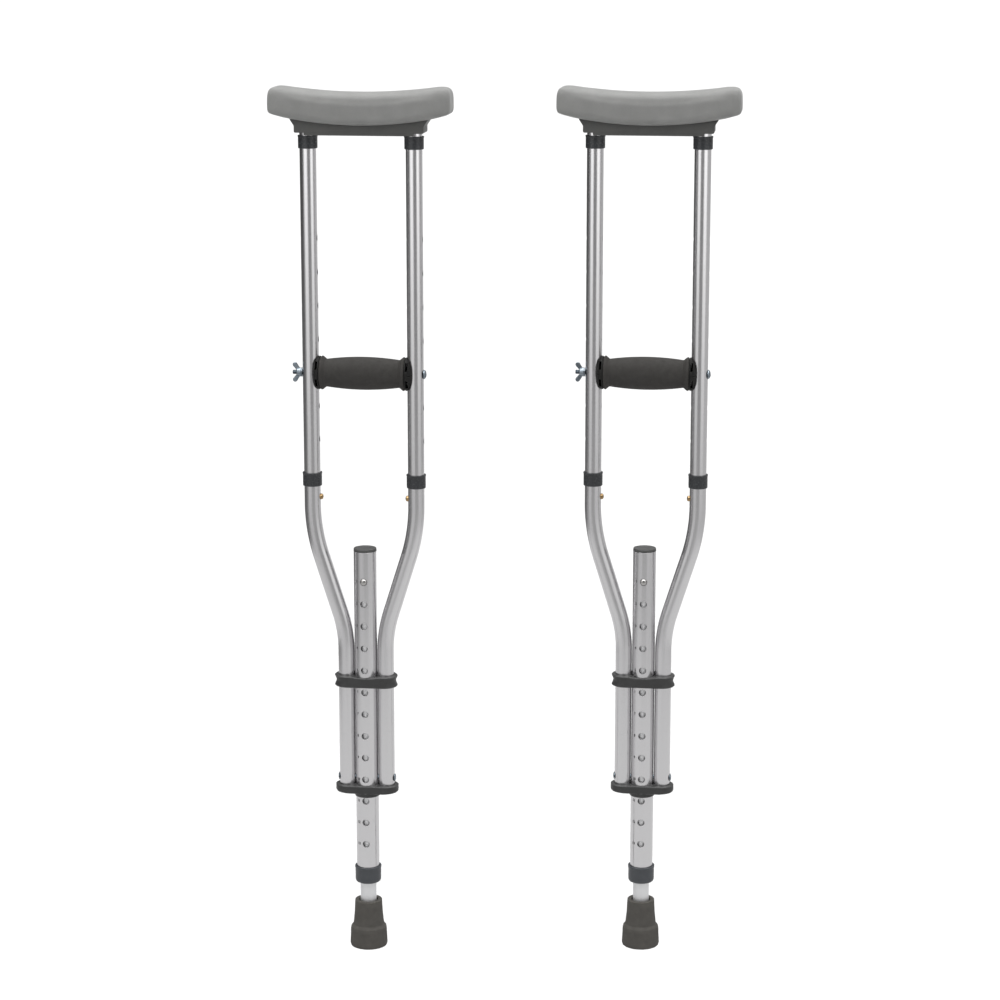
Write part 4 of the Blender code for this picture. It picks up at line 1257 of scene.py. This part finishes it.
def make_pieces():
    """(piece, CAD node, look, record slot) for every piece of one crutch that shows."""
    foam = foam_look()
    base = moulded_look("base_moulding", (0.052, 0.052, 0.050), (0.060, 0.060, 0.057), 0.50)
    collar_skin = {"shine": 0.26, "texture": 0.0000015, "ripple": 0.00001}
    collar = moulded_look("collar_moulding", (0.028, 0.030, 0.032), (0.033, 0.035, 0.038), **collar_skin)
    leg_collar = moulded_look("leg_collar_moulding", (0.043, 0.046, 0.051), (0.050, 0.054, 0.060), 0.38)
    clamp = moulded_look("clamp_moulding", (0.027, 0.027, 0.027), (0.034, 0.034, 0.034), 0.42)
    cap = moulded_look("cap_moulding", (0.046, 0.046, 0.045), (0.055, 0.055, 0.054), 0.50)
    saddle = moulded_look("saddle_moulding", (0.008, 0.008, 0.008), (0.013, 0.013, 0.012), 0.55, gloss=0.12)
    grip = rubber_look("grip_rubber_skin", (0.030, 0.0285, 0.0265), (0.038, 0.036, 0.034))
    tip = rubber_look("tip_rubber_skin", (0.056, 0.053, 0.048), (0.068, 0.064, 0.058))
    tube = anodised_look("anodised_tube", (0.700, 0.692, 0.702), (0.742, 0.734, 0.744), 0.19, 0.26)
    leg = anodised_look("blasted_leg", (0.790, 0.790, 0.797), (0.832, 0.832, 0.840), 0.50, 0.60)
    zinc, button, brass = zinc_look(), button_look(), brass_look()
    pieces = [
        (make_pad(), "underarm_pad", foam, "pad_foam"),
        (make_base(), "pad_base", base, "base_plastic"),
        (make_upper_clamp(), "upper_clamp", clamp, "clamp_plastic"),
        (make_lower_clamp(), "lower_clamp", clamp, "clamp_plastic"),
        (make_centre_tube(), "centre_tube", tube, "aluminium"),
        (make_cap(), "centre_tube_cap", cap, "clamp_plastic"),
        (make_leg_collar(), "leg_collar", leg_collar, "collar_plastic"),
        (make_leg_tube(), "leg_tube", leg, "aluminium"),
        (make_leg_button(), "leg_snap_button", button, "zinc_steel"),
        (make_tip(), "rubber_tip", tip, "tip_rubber"),
        (make_sleeve(), "grip_sleeve", grip, "grip_rubber"),
        (make_bolt(), "grip_bolt", zinc, "zinc_steel"),
        (make_nut_washer(), "nut_washer", zinc, "zinc_steel"),
        (make_wing_nut(), "wing_nut", zinc, "zinc_steel"),
    ]
    sided_pieces = [
        ("upper_tube", make_upper_tube, tube, "aluminium"),
        ("top_collar", make_collar, collar, "collar_plastic"),
        ("joint_collar", make_collar, collar, "collar_plastic"),
        ("side_snap_button", make_side_button, brass, "brass"),
        ("bow_tube", make_bow, tube, "aluminium"),
        ("clamp_rivet", make_rivet, zinc, "zinc_steel"),
        ("grip_saddle", make_saddle, saddle, "saddle_plastic"),
    ]
    for letter, side in SIDES_OF_FRAME:
        for kind, make, look, slot in sided_pieces:
            node = f"{kind}_{letter}"
            pieces.append((make(node, side), node, look, slot))
    for crutch in CRUTCHES:
        wear(frame["nodes"][f"{crutch}_grip_core"], saddle)
        wear(frame["nodes"][f"{crutch}_tip_washer"], zinc)
    return pieces


def place_marks():
    marks = make_height_marks()
    ink = ink_look()
    for crutch in CRUTCHES:
        copy = copied(marks, crutch, "height_marks", ink)
        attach(copy, "frames")
    bpy.data.objects.remove(marks)


def build():
    pieces = make_pieces()
    for crutch in CRUTCHES:
        for piece, node, look, slot in pieces:
            copy = place_on(crutch, piece, node, look, slot)
    for piece, *_ in pieces:
        bpy.data.objects.remove(piece)
    place_marks()


# ---- Studio ----

# The crutches are held up. The floor is where their tips come to with the legs fully out.
LEG_TRAVEL = next(
    joint["range_m"][1]
    for joint in frame["record"]["behaviour"]["joints"]
    if joint["name"] == "left_crutch_leg_height"
)
FLOOR_HALF_SIZE = 60.0
FLOOR_LOOK = {"Base_Color": (0.50, 0.50, 0.50, 1), "Roughness": 0.9, "Specular_IOR_Level": 0.1}
BACKDROP_DISTANCE = 50.0
BACKDROP_HEIGHT = 40.0
WORLD_STRENGTH = 0.30
TOP_LIGHT = 6.0
TOP_LIGHT_SPREAD = math.radians(88)
TOP_LIGHT_TILT = math.radians(3)

# Cards that only reflections see: start and end in degrees from the camera's own direction, to
# the right, how bright each is at its top and at its foot, and how late it changes on the way up
CARDS = [
    (-175, -78, 0.07, 0.16, 1.8),
    (-78, -62, 0.36, 0.34, 1.8),
    (-62, -20, 1.34, 0.51, 1.8),
    (-20, 26, 0.25, 0.46, 0.4),
    (26, 66, 1.38, 0.53, 1.8),
    (66, 150, 0.52, 0.54, 1.8),
]
CARD_DISTANCE = 1.30
CARD_HEIGHT = 1.80
CARD_STEPS = 8
CARD_GLOW_SPAN = (0.15, 0.80)  # the heights between which a card's brightness changes
FLOOR_CARD_GLOW = 0.72
FLOOR_CARD_LIFT = 0.0005


def glow_look(name):
    """A glowing material, and its emission node."""
    look = bpy.data.materials.new(name)
    look.use_nodes = True
    look.node_tree.nodes.clear()
    glow = add_node(look, "ShaderNodeEmission")
    out = add_node(look, "ShaderNodeOutputMaterial")
    connect(look, glow.outputs["Emission"], out.inputs["Surface"])
    return look, glow


def card_look(top, foot, curve):
    """Glows evenly sideways, and changes from foot to top."""
    look, glow = glow_look("card_glow")
    place = add_node(look, "ShaderNodeTexCoord")
    split = add_node(look, "ShaderNodeSeparateXYZ")
    bent = add_node(look, "ShaderNodeMath", operation="POWER")
    bent.inputs[1].default_value = curve
    connect(look, place.outputs["Object"], split.inputs["Vector"])
    low, high = CARD_GLOW_SPAN
    connect(look, ranged(look, split.outputs["Z"], 0, 1, start=low, end=high), bent.inputs[0])
    connect(look, ranged(look, bent.outputs["Value"], foot, top, start=0, end=1), glow.inputs["Strength"])
    return look


def unseen_by(obj, *rays):
    """Stage that these kinds of ray, and the scattered ones, pass through."""
    for ray in (*rays, "diffuse", "shadow", "transmission", "volume_scatter"):
        setattr(obj, f"visible_{ray}", False)
    obj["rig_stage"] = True


def make_floor_card(height):
    """A disc that the tubes' lower ends reflect in place of the bright floor."""
    rings = [circle(radius, height + FLOOR_CARD_LIFT, SIDES) for radius in (0, CARD_DISTANCE)]
    card = lofted("floor_card", rings)
    card.data.materials.append(card_look(FLOOR_CARD_GLOW, FLOOR_CARD_GLOW, 1))
    unseen_by(card, "camera")


def make_card(start, end, top, foot, curve):
    """A curved card standing on the floor round the crutches."""
    turns = [math.radians(angle) + CAMERA_TURN for angle in evenly(start, end, CARD_STEPS)]
    shape = bmesh.new()
    columns = []
    for turn in turns:
        x, y = CARD_DISTANCE * math.sin(turn), -CARD_DISTANCE * math.cos(turn)
        columns.append([shape.verts.new((x, y, z)) for z in (-LEG_TRAVEL, CARD_HEIGHT)])
    for one, other in zip(columns, columns[1:]):
        shape.faces.new((one[0], other[0], other[1], one[1]))
    card = mesh_from("card", shape)
    card.data.materials.append(card_look(top, foot, curve))
    unseen_by(card, "camera")


def make_floor():
    shape = bmesh.new()
    bmesh.ops.create_grid(shape, x_segments=1, y_segments=1, size=FLOOR_HALF_SIZE)
    floor = moved(mesh_from("floor", shape), (0, 0, -LEG_TRAVEL))
    floor.data.materials.append(new_look("pale_floor", **FLOOR_LOOK))
    floor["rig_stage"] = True


def make_backdrop():
    """Carries the floor's white on above the horizon; it lights nothing and shows in no reflection."""
    rings = [circle(BACKDROP_DISTANCE, height, SIDES) for height in (-LEG_TRAVEL, BACKDROP_HEIGHT)]
    wall = lofted("backdrop", rings)
    wall.data.materials.append(glow_look("backdrop_glow")[0])
    unseen_by(wall, "glossy")


def light_studio():
    world = bpy.data.worlds.new("studio")
    world.use_nodes = True
    sky = world.node_tree.nodes["Background"]
    sky.inputs["Color"].default_value = (1, 1, 1, 1)
    sky.inputs["Strength"].default_value = WORLD_STRENGTH
    bpy.context.scene.world = world
    light = bpy.data.lights.new("top_light", "SUN")
    light.energy = TOP_LIGHT
    light.angle = TOP_LIGHT_SPREAD
    lamp = add_object("top_light", light)
    lamp.rotation_euler = (TOP_LIGHT_TILT, 0, CAMERA_TURN)
    for card in CARDS:
        make_card(*card)
    for height in (0, -LEG_TRAVEL):
        make_floor_card(height)


def place_camera():
    look_along = Vector((-math.sin(CAMERA_TURN), math.cos(CAMERA_TURN), 0))
    right = Vector((math.cos(CAMERA_TURN), math.sin(CAMERA_TURN), 0))
    lens = bpy.data.cameras.new("camera")
    lens.lens = CAMERA_LENS
    lens.sensor_width = CAMERA_SENSOR
    lens.clip_end = 2 * FLOOR_HALF_SIZE
    camera = add_object("camera", lens)
    camera.location = -look_along * CAMERA_DISTANCE - right * CAMERA_LEFT + Vector((0, 0, CAMERA_HEIGHT))
    camera.rotation_euler = (math.pi / 2 - CAMERA_PITCH, 0, CAMERA_TURN)
    bpy.context.scene.camera = camera


def corners(bounds):
    return [[round(value, 6) for value in corner] for corner in bounds]


place_camera()
build()
make_floor()
make_backdrop()
light_studio()
bpy.context.scene.view_settings.view_transform = "Standard"
{"cad": corners(cad_bounds), "visual": corners(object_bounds())}
